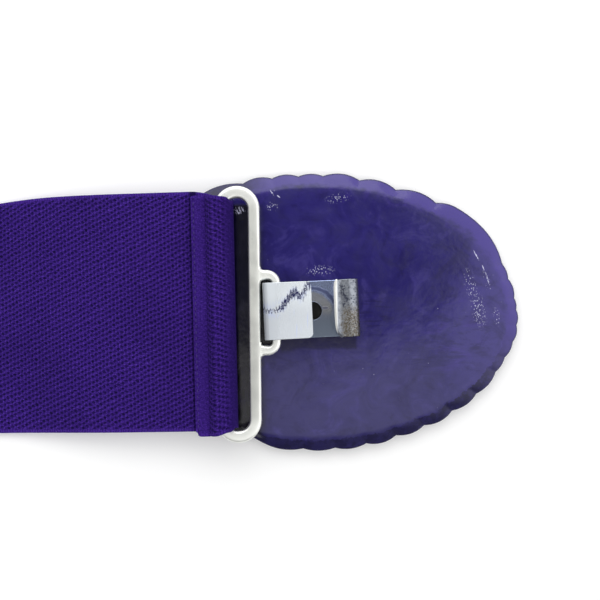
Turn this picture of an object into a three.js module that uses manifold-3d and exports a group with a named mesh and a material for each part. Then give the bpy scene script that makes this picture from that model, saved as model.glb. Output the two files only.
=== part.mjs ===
// Elastic stretch belt with a hook buckle, lying face down and laid out straight.
//
// Millimetres, +Z up. The origin is the middle of the buckle plate's front face, which
// lies on the surface at z = 0. +X runs along the belt to the buckle's free end, and +Y
// across it. The strap leaves the buckle towards -X, and its other ring hooks into the
// clip on the plate's back when the belt is worn.

import * as THREE from 'three';
import { mergeVertices } from 'three/addons/utils/BufferGeometryUtils.js';
import Module from 'manifold-3d';

const wasm = await Module();
wasm.setup();

// Elastic strap
const ELASTIC_WIDTH = 76.2;
const ELASTIC_THICKNESS = 1.5;
const STRAP_SPAN = 610;
const STRAP_LEAN = THREE.MathUtils.degToRad(0.7);
const STRAP_SKEW = 1.1;
const HEM_LENGTH = 8.8;
const HEM_CLOSE = 4.8;
const HEM_SHOULDER = 1.7;
const FOLD_PLAY = 1.35;
const FOLD_PINCH = 1.5;
const FAR_FOLD_PINCH = 2.3;
const LIE_DOWN = 46;

// Two cast rings, one in each fold of the strap
const RING_LENGTH = 81;
const RING_WIDTH = 14.5;
const RING_BAR = 3.8;
const RING_THICKNESS = 2.4;
const RING_EDGE = 0.6;
const LOOP_OPENING = 20.6;
const LOOP_SLOT = 3.6;
const LOOP_SLOT_CORNER = 1.2;
const LOOP_ARM = 3.2;
const LOOP_CORNER = 4.3;
const LOOP_FILLET = 1.2;
const LOOP_SHIFT = 0.4;
const PIN_RADIUS = 1.34;

// Hook clip, bent from one strip of sheet
const CLIP_WIDTH = 18;
const CLIP_STRIP = 1;
const CLIP_LEAN = THREE.MathUtils.degToRad(2);
const CLIP_SHIFT = 0.5;
const FOLD_BACK = 1.26;
const FLAP_REACH = 11.3;
const FLAP_GAP = 1.6;
const HOOK_REACH = 26.1;
const HOOK_ROOM = 4.5;
const LIP_LENGTH = 4.9;
const LIP_FLARE = 0.5;
const HOLE_DIAMETER = 5.7;
const HOLE_REACH = 11.5;
const HOLE_SHIFT = -0.5;
const PIN_PLAY = 0.4;

// Buckle plate, an oval with a scalloped edge
const PLATE_LENGTH = 131.8;
const PLATE_WIDTH = 89.2;
const PLATE_THICKNESS = 7.5;
const DOME_FALL = 2;
const BEVEL_WIDTH = 5;
const EDGE_HEIGHT = 3;
const EDGE_THICKNESS = 0.8;
const FRONT_SLOPE = 12;
const SCALLOP_DEPTH = 1.2;
const PIN_FROM_MIDDLE = 12;

// Gap that two pieces keep where they lie on each other
const CLEARANCE = 0.3;

// Heights and places that follow from the sizes above
const PIN_ROOM = PIN_RADIUS + PIN_PLAY;
const PIN_Z = PLATE_THICKNESS + CLEARANCE + CLIP_STRIP + PIN_ROOM;
const RING_MIDDLE_TO_PIN = RING_WIDTH / 2 + LOOP_SLOT + PIN_RADIUS;
const RING_MIDDLE_TO_BAR = (RING_WIDTH - RING_BAR) / 2;
const RING_X = -PIN_FROM_MIDDLE - RING_MIDDLE_TO_PIN;
const BAR_X = RING_X - RING_MIDDLE_TO_BAR;
const RING_RISE = ELASTIC_THICKNESS + CLEARANCE + RING_THICKNESS / 2;
const FOLD_REACH = RING_BAR / 2 + FOLD_PLAY + ELASTIC_THICKNESS;

// Each scallop of the plate's edge starts at an angle round the oval, in degrees
// anticlockwise from +X. Its dip there and its rise at its middle are shares of the
// scallop depth, outwards from the oval.
const SCALLOPS = [
  { at: -103, dip: -0.2, rise: 0.3 },
  { at: -93.5, dip: -0.3, rise: 0.3 },
  { at: -84.5, dip: -0.3, rise: 0.4 },
  { at: -75.5, dip: -0.4, rise: 0.4 },
  { at: -66.5, dip: -0.6, rise: 0.3 },
  { at: -57.5, dip: -0.5, rise: 0.5 },
  { at: -47.5, dip: -0.4, rise: 0.5 },
  { at: -37.5, dip: -0.1, rise: 0.5 },
  { at: -27, dip: -0.2, rise: 0.1 },
  { at: -20.5, dip: -0.2, rise: 0.3 },
  { at: -13.5, dip: 0.1, rise: 0.5 },
  { at: -6.5, dip: 0, rise: 0.2 },
  { at: 0, dip: -0.4, rise: -0.3 },
  { at: 5, dip: -0.7, rise: -0.4 },
  { at: 13.5, dip: -1, rise: -0.6 },
  { at: 20, dip: -0.8, rise: 0.4 },
  { at: 34, dip: 1.1, rise: 1.25 },
  { at: 45.5, dip: 1.15, rise: 0.75 },
  { at: 52.5, dip: -0.5, rise: 0.2 },
  { at: 65.5, dip: -1.2, rise: 0.1 },
  { at: 76.5, dip: -0.8, rise: 0.4 },
  { at: 87, dip: -0.5, rise: 0.1 },
  { at: 94, dip: -0.5, rise: 0.3 },
  { at: 101.5, dip: -0.3, rise: 0.6 },
  { at: 110, dip: -0.1, rise: 1.2 },
  { at: 127, dip: -0.3, rise: 0.4 },
];
const HIDDEN_SCALLOPS = 14;
const SCALLOP_STEP = THREE.MathUtils.degToRad(3);

const smooth = (share) => THREE.MathUtils.smoothstep(share, 0, 1);

function metal(colour, roughness) {
  return new THREE.MeshStandardMaterial({ color: colour, roughness, metalness: 1 });
}

function node(name, geometry, material) {
  const mesh = new THREE.Mesh(geometry, material);
  mesh.name = name;
  return mesh;
}

// A closed surface from rings of points, each ring running anticlockwise seen from
// above, from the lowest face's middle up to the highest face's middle.
function stackedRings(bottom, rings, top) {
  const points = [bottom, ...rings.flat(), top];
  const count = rings[0].length;
  const start = (level) => 1 + level * count;
  const last = points.length - 1;
  const faces = [];
  for (let i = 0; i < count; i += 1) {
    const j = (i + 1) % count;
    faces.push(0, start(0) + j, start(0) + i);
    for (let level = 0; level < rings.length - 1; level += 1) {
      const below = start(level);
      const above = start(level + 1);
      faces.push(below + i, below + j, above + j, below + i, above + j, above + i);
    }
    faces.push(last, start(rings.length - 1) + i, start(rings.length - 1) + j);
  }
  const geometry = new THREE.BufferGeometry().setFromPoints(points);
  geometry.setIndex(faces);
  geometry.computeVertexNormals();
  return geometry;
}

// A solid between two upright sides, from an outline in X and Z, anticlockwise seen from
// -Y, and holes through it. Each point of the outline has its own place along Y on the
// side at -1 and on the side at 1.
function uprightSolid(outline, holes, placeOfSide) {
  const contours = [outline, ...holes];
  const flat = contours.flat();
  const points = [-1, 1].flatMap((side) =>
    flat.map((p) => new THREE.Vector3(p.x, placeOfSide(p, side), p.y)));
  const far = flat.length;
  const faces = [];
  for (const [a, b, c] of THREE.ShapeUtils.triangulateShape(outline, holes)) {
    faces.push(a, b, c, far + a, far + c, far + b);
  }
  let first = 0;
  for (const contour of contours) {
    for (let i = 0; i < contour.length; i += 1) {
      const p = first + i;
      const q = first + ((i + 1) % contour.length);
      faces.push(p, far + p, far + q, p, far + q, q);
    }
    first += contour.length;
  }
  const geometry = new THREE.BufferGeometry().setFromPoints(points);
  geometry.setIndex(faces);
  geometry.computeVertexNormals();
  return geometry;
}

function toSolid(geometry) {
  const bare = geometry.clone();
  bare.deleteAttribute('normal');
  bare.deleteAttribute('uv');
  const merged = mergeVertices(bare, 1e-4);
  return new wasm.Manifold(new wasm.Mesh({
    numProp: 3,
    vertProperties: new Float32Array(merged.attributes.position.array),
    triVerts: new Uint32Array(merged.index.array),
  }));
}

function toGeometry(solid) {
  const mesh = solid.getMesh();
  const geometry = new THREE.BufferGeometry();
  geometry.setAttribute('position', new THREE.BufferAttribute(mesh.vertProperties, 3));
  geometry.setIndex(new THREE.BufferAttribute(mesh.triVerts, 1));
  geometry.computeVertexNormals();
  return geometry;
}

// Buckle plate

// The scallops round the whole edge. Those that the strap hides are even ones.
function allScallops() {
  const [firstShown] = SCALLOPS;
  const lastShown = SCALLOPS[SCALLOPS.length - 1];
  const step = (firstShown.at + 360 - lastShown.at) / (HIDDEN_SCALLOPS + 1);
  const hidden = Array.from({ length: HIDDEN_SCALLOPS }, (_, i) => (
    { ...lastShown, at: lastShown.at + step * (i + 1) }));
  return [...SCALLOPS, ...hidden];
}

// Angles round the oval, each with how far the scalloped edge stands out from it.
function edgeStations() {
  const scallops = allScallops();
  const stations = [];
  scallops.forEach((scallop, i) => {
    const wraps = i === scallops.length - 1;
    const next = scallops[(i + 1) % scallops.length];
    const from = THREE.MathUtils.degToRad(scallop.at);
    const to = THREE.MathUtils.degToRad(next.at + (wraps ? 360 : 0));
    const steps = Math.max(3, Math.round((to - from) / SCALLOP_STEP));
    for (let k = 0; k < steps; k += 1) {
      const share = k / steps;
      const dip = THREE.MathUtils.lerp(scallop.dip, next.dip, share);
      const rise = scallop.rise - (scallop.dip + next.dip) / 2;
      const out = SCALLOP_DEPTH * (dip + rise * (1 - (2 * share - 1) ** 2));
      stations.push({ angle: THREE.MathUtils.lerp(from, to, share), out });
    }
  });
  return stations;
}

// A ring of the plate at one height: the oval drawn in by an inset and by a share of
// its size, with the scallops at a share of their full depth.
function plateRing(stations, { z, inset = 0, share = 1, scallop = 0 }) {
  const along = (PLATE_LENGTH / 2 - inset) * share;
  const across = (PLATE_WIDTH / 2 - inset) * share;
  return stations.map(({ angle, out }) => {
    const outwards = new THREE.Vector2(Math.cos(angle) / along, Math.sin(angle) / across)
      .normalize().multiplyScalar(out * scallop);
    return new THREE.Vector3(
      along * Math.cos(angle) + outwards.x, across * Math.sin(angle) + outwards.y, z);
  });
}

// Height of the domed back, by its share of the way from the middle to the bevel.
const backHeight = (share) => PLATE_THICKNESS - DOME_FALL * share ** 2;

function plateGeometry() {
  const stations = edgeStations();
  const edgeTop = EDGE_HEIGHT + EDGE_THICKNESS / 2;
  const edgeFoot = EDGE_HEIGHT - EDGE_THICKNESS / 2;
  const edgeRound = EDGE_THICKNESS / 2;
  const rings = [
    { z: 0, inset: FRONT_SLOPE },
    { z: edgeFoot * 0.35, inset: FRONT_SLOPE / 2, scallop: 0.4 },
    { z: edgeFoot, inset: edgeRound, scallop: 1 },
    { z: EDGE_HEIGHT, scallop: 1 },
    { z: edgeTop, inset: edgeRound, scallop: 1 },
    { z: THREE.MathUtils.lerp(edgeTop, backHeight(1), 0.62), inset: BEVEL_WIDTH / 2, scallop: 0.6 },
    ...[1, 0.7, 0.35].map((share) => ({ z: backHeight(share), inset: BEVEL_WIDTH, share })),
  ].map((ring) => plateRing(stations, ring));
  return stackedRings(
    new THREE.Vector3(0, 0, 0), rings, new THREE.Vector3(0, 0, PLATE_THICKNESS));
}

// Rings, flat in X and Y with the middle at the origin and the small loop at +X

function ringOutline() {
  const side = RING_WIDTH / 2;
  const straight = RING_LENGTH / 2 - side;
  const loopEnd = RING_MIDDLE_TO_PIN + PIN_RADIUS;
  const loopTop = LOOP_SHIFT + LOOP_OPENING / 2 + LOOP_ARM;
  const loopFoot = LOOP_SHIFT - LOOP_OPENING / 2 - LOOP_ARM;
  const corner = Math.min(LOOP_CORNER, loopEnd - side - LOOP_FILLET);
  const shape = new THREE.Shape();
  shape.moveTo(side, -straight);
  shape.absarc(side + LOOP_FILLET, loopFoot - LOOP_FILLET, LOOP_FILLET, Math.PI, Math.PI / 2, true);
  shape.absarc(loopEnd - corner, loopFoot + corner, corner, -Math.PI / 2, 0, false);
  shape.absarc(loopEnd - corner, loopTop - corner, corner, 0, Math.PI / 2, false);
  shape.absarc(side + LOOP_FILLET, loopTop + LOOP_FILLET, LOOP_FILLET, -Math.PI / 2, -Math.PI, true);
  shape.absarc(0, straight, side, 0, Math.PI, false);
  shape.absarc(0, -straight, side, Math.PI, 2 * Math.PI, false);
  return shape;
}

// A slot along Y with rounded corners.
function slotPath(middleX, middleY, width, length, corner) {
  const right = middleX + width / 2 - corner;
  const left = middleX - width / 2 + corner;
  const top = middleY + length / 2 - corner;
  const foot = middleY - length / 2 + corner;
  const path = new THREE.Path();
  path.moveTo(right + corner, foot);
  path.absarc(right, top, corner, 0, Math.PI / 2, false);
  path.absarc(left, top, corner, Math.PI / 2, Math.PI, false);
  path.absarc(left, foot, corner, Math.PI, 1.5 * Math.PI, false);
  path.absarc(right, foot, corner, 1.5 * Math.PI, 2 * Math.PI, false);
  return path;
}

function ringGeometry() {
  const shape = ringOutline();
  const width = RING_WIDTH - 2 * RING_BAR;
  const loopX = (RING_WIDTH + LOOP_SLOT) / 2;
  shape.holes.push(
    slotPath(0, 0, width, RING_LENGTH - 2 * RING_BAR, width / 2),
    slotPath(loopX, LOOP_SHIFT, LOOP_SLOT, LOOP_OPENING, LOOP_SLOT_CORNER));
  const geometry = new THREE.ExtrudeGeometry(shape, {
    depth: RING_THICKNESS - 2 * RING_EDGE,
    bevelThickness: RING_EDGE,
    bevelSize: RING_EDGE,
    bevelOffset: -RING_EDGE,
    bevelSegments: 2,
    curveSegments: 8,
  });
  geometry.translate(0, 0, RING_EDGE - RING_THICKNESS / 2);
  return geometry;
}

// Half the ring's long opening along Y, at a place across it. It has round ends.
function openingHalf(x) {
  const end = RING_WIDTH / 2 - RING_BAR;
  const straight = RING_LENGTH / 2 - RING_WIDTH / 2;
  return straight + Math.sqrt(Math.max(0, end ** 2 - x ** 2));
}

// Hook clip, with the ring's pin at its origin, bent in X and Z

function arcPoints(x, z, radius, from, to, steps) {
  return Array.from({ length: steps + 1 }, (_, i) => {
    const angle = THREE.MathUtils.degToRad(THREE.MathUtils.lerp(from, to, i / steps));
    return new THREE.Vector2(x + radius * Math.cos(angle), z + radius * Math.sin(angle));
  });
}

// The middle of the strip, from the end of the flap, round the pin, along the base and
// up round the hook to the tip of its lip.
function clipMiddle() {
  const half = CLIP_STRIP / 2;
  const baseZ = -PIN_ROOM - half;
  const hookRadius = (HOOK_ROOM + CLIP_STRIP) / 2;
  const hookX = HOOK_REACH - hookRadius - half;
  const lipZ = baseZ + 2 * hookRadius;
  return [
    new THREE.Vector2(FLAP_REACH, FLAP_GAP - PIN_ROOM + half),
    new THREE.Vector2(PIN_ROOM, -baseZ),
    ...arcPoints(-FOLD_BACK, 0, -baseZ, 90, 270, 10),
    new THREE.Vector2(hookX - CLIP_STRIP, baseZ),
    ...arcPoints(hookX, baseZ + hookRadius, hookRadius, -90, 90, 10),
    new THREE.Vector2(hookX - LIP_LENGTH, lipZ + LIP_FLARE),
  ];
}

// The outline of a strip of even thickness round a line down its middle.
function stripOutline(middle, thickness) {
  const normals = middle.map((_, i) => {
    const before = middle[Math.max(0, i - 1)];
    const after = middle[Math.min(middle.length - 1, i + 1)];
    const along = after.clone().sub(before).normalize();
    return new THREE.Vector2(-along.y, along.x).multiplyScalar(thickness / 2);
  });
  const left = middle.map((p, i) => p.clone().add(normals[i]));
  const right = middle.map((p, i) => p.clone().sub(normals[i]));
  return [...right, ...left.reverse()];
}

function clipGeometry() {
  const strip = uprightSolid(
    stripOutline(clipMiddle(), CLIP_STRIP), [], (_, side) => (side * CLIP_WIDTH) / 2);
  const baseMiddle = -PIN_ROOM - CLIP_STRIP / 2;
  const drill = new THREE.CylinderGeometry(
    HOLE_DIAMETER / 2, HOLE_DIAMETER / 2, 2 * CLIP_STRIP, 32);
  drill.rotateX(Math.PI / 2);
  drill.translate(HOLE_REACH, HOLE_SHIFT, baseMiddle);
  return toGeometry(toSolid(strip).subtract(toSolid(drill)));
}

// Elastic strap, with the near ring's bar at x = 0 and the far ring's at x = -STRAP_SPAN.
// Heights are over the surface that the belt lies on.

// Height of the strap's underside, by the distance from the near bar: level under the
// ring, down the plate's domed back to its bevel, and from there down to the surface.
function underside(distance) {
  const atBar = PIN_Z - RING_RISE;
  const bevel = PLATE_LENGTH / 2 - BEVEL_WIDTH + BAR_X;
  const atBevel = backHeight(1) + CLEARANCE;
  const slope = (-2 * DOME_FALL) / (PLATE_LENGTH / 2 - BEVEL_WIDTH);
  if (distance <= 0) return atBar;
  if (distance < bevel) {
    const t = distance / bevel;
    return atBar + (atBevel - atBar) * smooth(t) + (t ** 3 - t ** 2) * bevel * slope;
  }
  const t = Math.min(1, (distance - bevel) / LIE_DOWN);
  return atBevel * (1 - smooth(t)) + (t ** 3 - 2 * t ** 2 + t) * LIE_DOWN * slope;
}

// One end of the strap, turned round a ring's bar and sewn down on itself. Distances
// run from the bar, away from the fold, and heights from the underside at the bar.
function endProfile(height) {
  const foldMiddle = RING_RISE - FOLD_REACH;
  const inner = RING_RISE - ELASTIC_THICKNESS;
  const doubled = 2 * ELASTIC_THICKNESS;
  const drop = (distance) => {
    const share = (distance - HEM_SHOULDER) / (HEM_CLOSE - HEM_SHOULDER);
    return (2 * inner) * (1 - smooth(share));
  };
  const fall = [0, 0.25, 0.4, 0.55, 0.7, 0.85].map((share) => (
    THREE.MathUtils.lerp(HEM_SHOULDER, HEM_CLOSE, share)));
  const over = (distance, rise) => new THREE.Vector2(distance, height(distance) + rise);
  const round = (radius, from, to) => (
    arcPoints(foldMiddle, height(0) + RING_RISE, radius, from, to, 10));
  const cut = CLEARANCE;
  const outer = [
    ...round(RING_RISE, 270, 90),
    ...fall.map((d) => over(d, doubled + drop(d))),
    over(HEM_CLOSE, doubled),
    over(HEM_LENGTH - cut, doubled),
    over(HEM_LENGTH, doubled - cut),
    over(HEM_LENGTH, ELASTIC_THICKNESS),
  ];
  const hole = [
    ...round(inner, 270, 90),
    ...fall.map((d) => over(d, ELASTIC_THICKNESS + drop(d))),
    over(HEM_CLOSE, ELASTIC_THICKNESS),
  ];
  return { outer, hole };
}

// How far each side of the strap stands out from its middle line. It narrows where a fold
// squeezes through the ring, and away from the near ring it was sewn on a little askew.
function strapSide(point, side) {
  const near = point.x > -STRAP_SPAN / 2;
  const distance = near ? -point.x : point.x + STRAP_SPAN;
  const foot = near ? underside(distance) : 0;
  const level = (near ? underside(0) : 0) + RING_RISE;
  const inHem = distance < HEM_LENGTH && point.y > foot + ELASTIC_THICKNESS + CLEARANCE;
  const skew = near && !inHem ? STRAP_SKEW * smooth(distance / HEM_LENGTH) : 0;
  const free = ELASTIC_WIDTH / 2 - (near ? FOLD_PINCH : FAR_FOLD_PINCH)
    * smooth((HEM_CLOSE - distance) / (HEM_CLOSE + FOLD_REACH));
  const inRing = distance < 0 && Math.abs(point.y - level) < RING_THICKNESS;
  if (!inRing) return side * free + skew;
  const sideways = Math.abs(Math.sin(STRAP_LEAN)) * (ELASTIC_WIDTH / 2);
  const across = RING_MIDDLE_TO_BAR + distance + sideways;
  return side * Math.min(free, openingHalf(across) - CLEARANCE);
}

function strapGeometry() {
  const near = endProfile(underside);
  const far = endProfile(() => 0);
  const toNear = (p) => new THREE.Vector2(-p.x, p.y);
  const toFar = (p) => new THREE.Vector2(p.x - STRAP_SPAN, p.y);
  const bevel = PLATE_LENGTH / 2 - BEVEL_WIDTH + BAR_X;
  const bends = [
    ...[0.4, 0.6, 0.8, 1].map((share) => bevel * share),
    ...[0.15, 0.3, 0.45, 0.6, 0.75, 0.9, 1].map((share) => bevel + LIE_DOWN * share),
  ];
  const lengths = [0.4, 0.6, 0.8].map((share) => STRAP_SPAN * share);
  const along = [...bends, ...lengths];
  const top = along.map((d) => new THREE.Vector2(-d, underside(d) + ELASTIC_THICKNESS));
  const foot = along.map((d) => new THREE.Vector2(-d, underside(d)));
  const outline = [
    ...near.outer.map(toNear),
    ...top,
    ...far.outer.map(toFar).reverse(),
    ...foot.reverse(),
  ];
  const holes = [near.hole.map(toNear).reverse(), far.hole.map(toFar)];
  return uprightSolid(outline, holes, strapSide);
}

// The belt

function buckle() {
  const group = new THREE.Group();
  const plate = node('buckle_plate', plateGeometry(), new THREE.MeshStandardMaterial(
    { color: 0x3d3378, roughness: 0.22, metalness: 0 }));
  const clip = node('hook_clip', clipGeometry(), metal(0xc6cad0, 0.28));
  clip.position.set(-PIN_FROM_MIDDLE, CLIP_SHIFT, PIN_Z);
  clip.rotation.z = CLIP_LEAN;
  group.add(plate, clip);
  return group;
}

function strap() {
  const group = new THREE.Group();
  group.position.set(BAR_X, -LOOP_SHIFT, 0);
  group.rotation.z = STRAP_LEAN;

  const elastic = node('elastic_band', strapGeometry(), new THREE.MeshStandardMaterial(
    { color: 0x38206e, roughness: 0.9, metalness: 0 }));

  // The far ring dips until its small loop rests on the surface.
  const farBar = new THREE.Group();
  farBar.position.set(-STRAP_SPAN, 0, RING_RISE);
  const reach = RING_MIDDLE_TO_BAR + RING_MIDDLE_TO_PIN + PIN_RADIUS;
  farBar.rotation.y = -Math.asin((RING_RISE - RING_THICKNESS / 2) / reach);
  const catchRing = node('catch_ring', ringGeometry(), metal(0xc9cac5, 0.38));
  catchRing.position.x = -RING_MIDDLE_TO_BAR;
  catchRing.rotation.z = Math.PI;
  farBar.add(catchRing);

  group.add(elastic, farBar);
  return group;
}

function belt() {
  const group = new THREE.Group();
  const endRing = node('end_ring', ringGeometry(), metal(0xc9cac5, 0.38));
  endRing.position.set(RING_X, -LOOP_SHIFT, PIN_Z);
  group.add(buckle(), endRing, strap());
  return group;
}

export default belt();
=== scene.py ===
"""Looks of an elastic stretch belt that lies face down, with a hook buckle at its end.

The belt has a wide knitted strap, turned round a cast ring at each end and sewn down,
and an oval resin buckle with a bent sheet metal clip glued to its back. Sizes are in
metres. The belt runs along X, its buckle at the +X end, on a surface at height zero.
"""

import logging
import math
import random
from contextlib import contextmanager
from dataclasses import dataclass, field
from enum import Enum
from typing import Callable, Iterator, Sequence

import bmesh
import bpy
from mathutils import Matrix, Vector


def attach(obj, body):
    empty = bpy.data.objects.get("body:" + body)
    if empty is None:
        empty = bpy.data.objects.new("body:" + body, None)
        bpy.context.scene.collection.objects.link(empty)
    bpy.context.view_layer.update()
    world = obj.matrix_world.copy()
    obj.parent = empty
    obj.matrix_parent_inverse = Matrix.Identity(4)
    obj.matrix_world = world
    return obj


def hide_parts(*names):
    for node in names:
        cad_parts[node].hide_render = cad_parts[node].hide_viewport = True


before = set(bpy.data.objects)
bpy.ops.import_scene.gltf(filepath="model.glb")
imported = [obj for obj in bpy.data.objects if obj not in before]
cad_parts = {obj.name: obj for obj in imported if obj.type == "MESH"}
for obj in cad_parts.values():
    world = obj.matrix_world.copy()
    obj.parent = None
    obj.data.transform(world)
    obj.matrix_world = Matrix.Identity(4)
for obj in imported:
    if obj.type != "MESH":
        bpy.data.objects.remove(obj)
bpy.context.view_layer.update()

log = logging.getLogger("stretch_belt")

MM = 0.001
MERGE = 0.005 * MM

Colour = tuple[float, float, float]
Patch = tuple[tuple[float, float], tuple[float, float], float]  # middle, reach, turn


def srgb(red: int, green: int, blue: int) -> Colour:
    """Gives a screen colour from 0 to 255 as the linear colour that a shader takes.

    Args:
        red: The red share.
        green: The green share.
        blue: The blue share.

    Returns:
        The linear colour.
    """
    def linear(share: int) -> float:
        """Undoes the screen's curve for one channel."""
        c = share / 255
        return c / 12.92 if c <= 0.04045 else ((c + 0.055) / 1.055) ** 2.4

    return linear(red), linear(green), linear(blue)


def smooth(share: float) -> float:
    """Eases a share from 0 to 1, level at both ends."""
    t = min(1.0, max(0.0, share))
    return t * t * (3 - 2 * t)


def bell(distance: float, width: float) -> float:
    """Gives a bump of height 1 that fades out over a width."""
    return math.exp(-((distance / width) ** 2))


# Bench


class Pick(Enum):
    """What the edit mode tools act on."""

    VERTICES = "VERT"
    EDGES = "EDGE"
    FACES = "FACE"


class Workpiece:
    """A mesh on the bench, shaped in edit mode with the modelling tools."""

    def __init__(self, name: str) -> None:
        """Takes up the primitive that was just added.

        Args:
            name: The piece's name.
        """
        self.object = bpy.context.object
        self.rename(name)
        for layer in list(self.object.data.uv_layers):
            self.object.data.uv_layers.remove(layer)

    @classmethod
    def start(cls, name: str, primitive: Callable[..., object], **settings: object) -> "Workpiece":
        """Adds a primitive and takes it up, with its place in its mesh.

        Args:
            name: The piece's name.
            primitive: The operator that adds it.
            settings: The operator's settings.

        Returns:
            The piece, its object at the origin.
        """
        bpy.ops.object.select_all(action="DESELECT")
        primitive(**settings)
        piece = cls(name)
        piece.place(Matrix.Identity(4))
        return piece

    @property
    def mesh(self) -> bpy.types.Mesh:
        """The piece's mesh."""
        return self.object.data

    def focus(self) -> None:
        """Selects this piece alone and makes it the active one."""
        bpy.ops.object.select_all(action="DESELECT")
        self.object.select_set(True)
        bpy.context.view_layer.objects.active = self.object

    @contextmanager
    def editing(self, pick: Pick = Pick.VERTICES) -> Iterator[None]:
        """Holds the piece in edit mode with nothing selected.

        Args:
            pick: What is selected there.

        Yields:
            Nothing.
        """
        self.focus()
        bpy.ops.object.mode_set(mode="EDIT")
        bpy.ops.mesh.select_mode(type=pick.value)
        bpy.ops.mesh.select_all(action="DESELECT")
        yield
        bpy.ops.object.mode_set(mode="OBJECT")

    def select(self, pick: Pick, test: Callable[[Vector], bool]) -> None:
        """Selects the vertices, edges or faces whose middle passes a test.

        Args:
            pick: What is selected.
            test: Takes the middle of one of them.
        """
        bpy.ops.mesh.select_mode(type=pick.value)
        bpy.ops.mesh.select_all(action="DESELECT")
        shape = bmesh.from_edit_mesh(self.mesh)
        for item in {"VERT": shape.verts, "EDGE": shape.edges, "FACE": shape.faces}[pick.value]:
            if isinstance(item, bmesh.types.BMVert):
                middle = item.co
            else:
                middle = sum((v.co for v in item.verts), Vector()) / len(item.verts)
            item.select_set(test(middle))
        shape.select_flush_mode()
        bmesh.update_edit_mesh(self.mesh)

    def selected(self) -> list[bmesh.types.BMVert]:
        """Lists the selected vertices in edit mode."""
        return [v for v in bmesh.from_edit_mesh(self.mesh).verts if v.select]

    def extrude(self, x: float, y: float, z: float) -> None:
        """Extrudes what is selected by an offset."""
        bpy.ops.mesh.extrude_region_move(TRANSFORM_OT_translate={"value": (x, y, z)})

    def spin(self, degrees: float, centre: Sequence[float], axis: Sequence[float],
             steps: int) -> None:
        """Extrudes what is selected round an axis.

        Args:
            degrees: How far it turns, anticlockwise seen from the axis' tip.
            centre: A point on the axis.
            axis: The axis' direction.
            steps: How many steps the turn has.
        """
        bpy.ops.mesh.spin(steps=steps, angle=-math.radians(degrees), center=centre, axis=axis,
                          use_auto_merge=False)

    def modify(self, kind: str, **settings: object) -> None:
        """Adds a modifier and applies it.

        Args:
            kind: The modifier's type.
            settings: The modifier's settings.
        """
        self.focus()
        modifier = self.object.modifiers.new(kind.title(), kind)
        for key, value in settings.items():
            setattr(modifier, key, value)
        bpy.ops.object.modifier_apply(modifier=modifier.name)

    def join_in(self, other: "Workpiece", operation: str) -> None:
        """Adds another piece's solid to this one, or cuts it out, and clears it away.

        Args:
            other: The other piece.
            operation: UNION or DIFFERENCE.
        """
        self.modify("BOOLEAN", operation=operation, solver="EXACT", object=other.object)
        bpy.data.objects.remove(other.object)

    def clean(self) -> None:
        """Merges doubled vertices and turns every face outwards."""
        with self.editing():
            bpy.ops.mesh.select_all(action="SELECT")
            bpy.ops.mesh.remove_doubles(threshold=MERGE)
            bpy.ops.mesh.normals_make_consistent(inside=False)

    def place(self, place: Matrix) -> None:
        """Moves the finished mesh to its place and leaves the object at the origin."""
        self.mesh.transform(place @ self.object.matrix_world)
        self.object.matrix_world = Matrix.Identity(4)

    def shade(self, degrees: float = 40) -> None:
        """Shades the piece smooth, but for edges sharper than an angle."""
        self.focus()
        bpy.ops.object.shade_smooth_by_angle(angle=math.radians(degrees))

    def rename(self, name: str) -> None:
        """Gives the piece and its mesh a new name."""
        self.object.name = self.mesh.name = name

    def copy(self, name: str) -> "Workpiece":
        """Makes a copy with a mesh of its own.

        Args:
            name: The copy's name.

        Returns:
            The copy.
        """
        self.focus()
        bpy.ops.object.duplicate(linked=False)
        return Workpiece(name)

    def dress(self, finish: "Finish") -> None:
        """Gives the piece one finish all over."""
        self.mesh.materials.clear()
        self.mesh.materials.append(finish.material())


def fit(piece: Workpiece, body: str, nodes: Sequence[str] = ()) -> None:
    """Fixes a finished piece to the part of the belt that carries it.

    Args:
        piece: The piece.
        body: The body that it moves with.
        nodes: The plain solids that it stands for.
    """
    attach(piece.object, body)
    if nodes:
        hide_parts(*nodes)
    log.info("%s: %d faces, on %s", piece.object.name, len(piece.mesh.polygons), body)


# Finishes


class Signal:
    """One node's output in a material, with the arithmetic that joins it to others."""

    def __init__(self, recipe: "Recipe", socket: bpy.types.NodeSocket) -> None:
        """Takes up an output.

        Args:
            recipe: The material that it is in.
            socket: The output.
        """
        self.recipe = recipe
        self.socket = socket

    def __add__(self, other: "Value") -> "Signal":
        """Adds another value."""
        return self.recipe.math("ADD", self, other)

    def __sub__(self, other: "Value") -> "Signal":
        """Takes another value away."""
        return self.recipe.math("SUBTRACT", self, other)

    def __rsub__(self, other: float) -> "Signal":
        """Takes this one away from a number."""
        return self.recipe.math("SUBTRACT", other, self)

    def __mul__(self, other: "Value") -> "Signal":
        """Multiplies by another value, so that both patterns must be there."""
        return self.recipe.math("MULTIPLY", self, other)

    def __truediv__(self, other: "Value") -> "Signal":
        """Divides by another value."""
        return self.recipe.math("DIVIDE", self, other)

    def __or__(self, other: "Value") -> "Signal":
        """Takes the greater of two values, so that either pattern may be there."""
        return self.recipe.math("MAXIMUM", self, other)

    def __abs__(self) -> "Signal":
        """Drops the sign."""
        return self.recipe.math("ABSOLUTE", self)


Value = float | tuple | Signal


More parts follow.
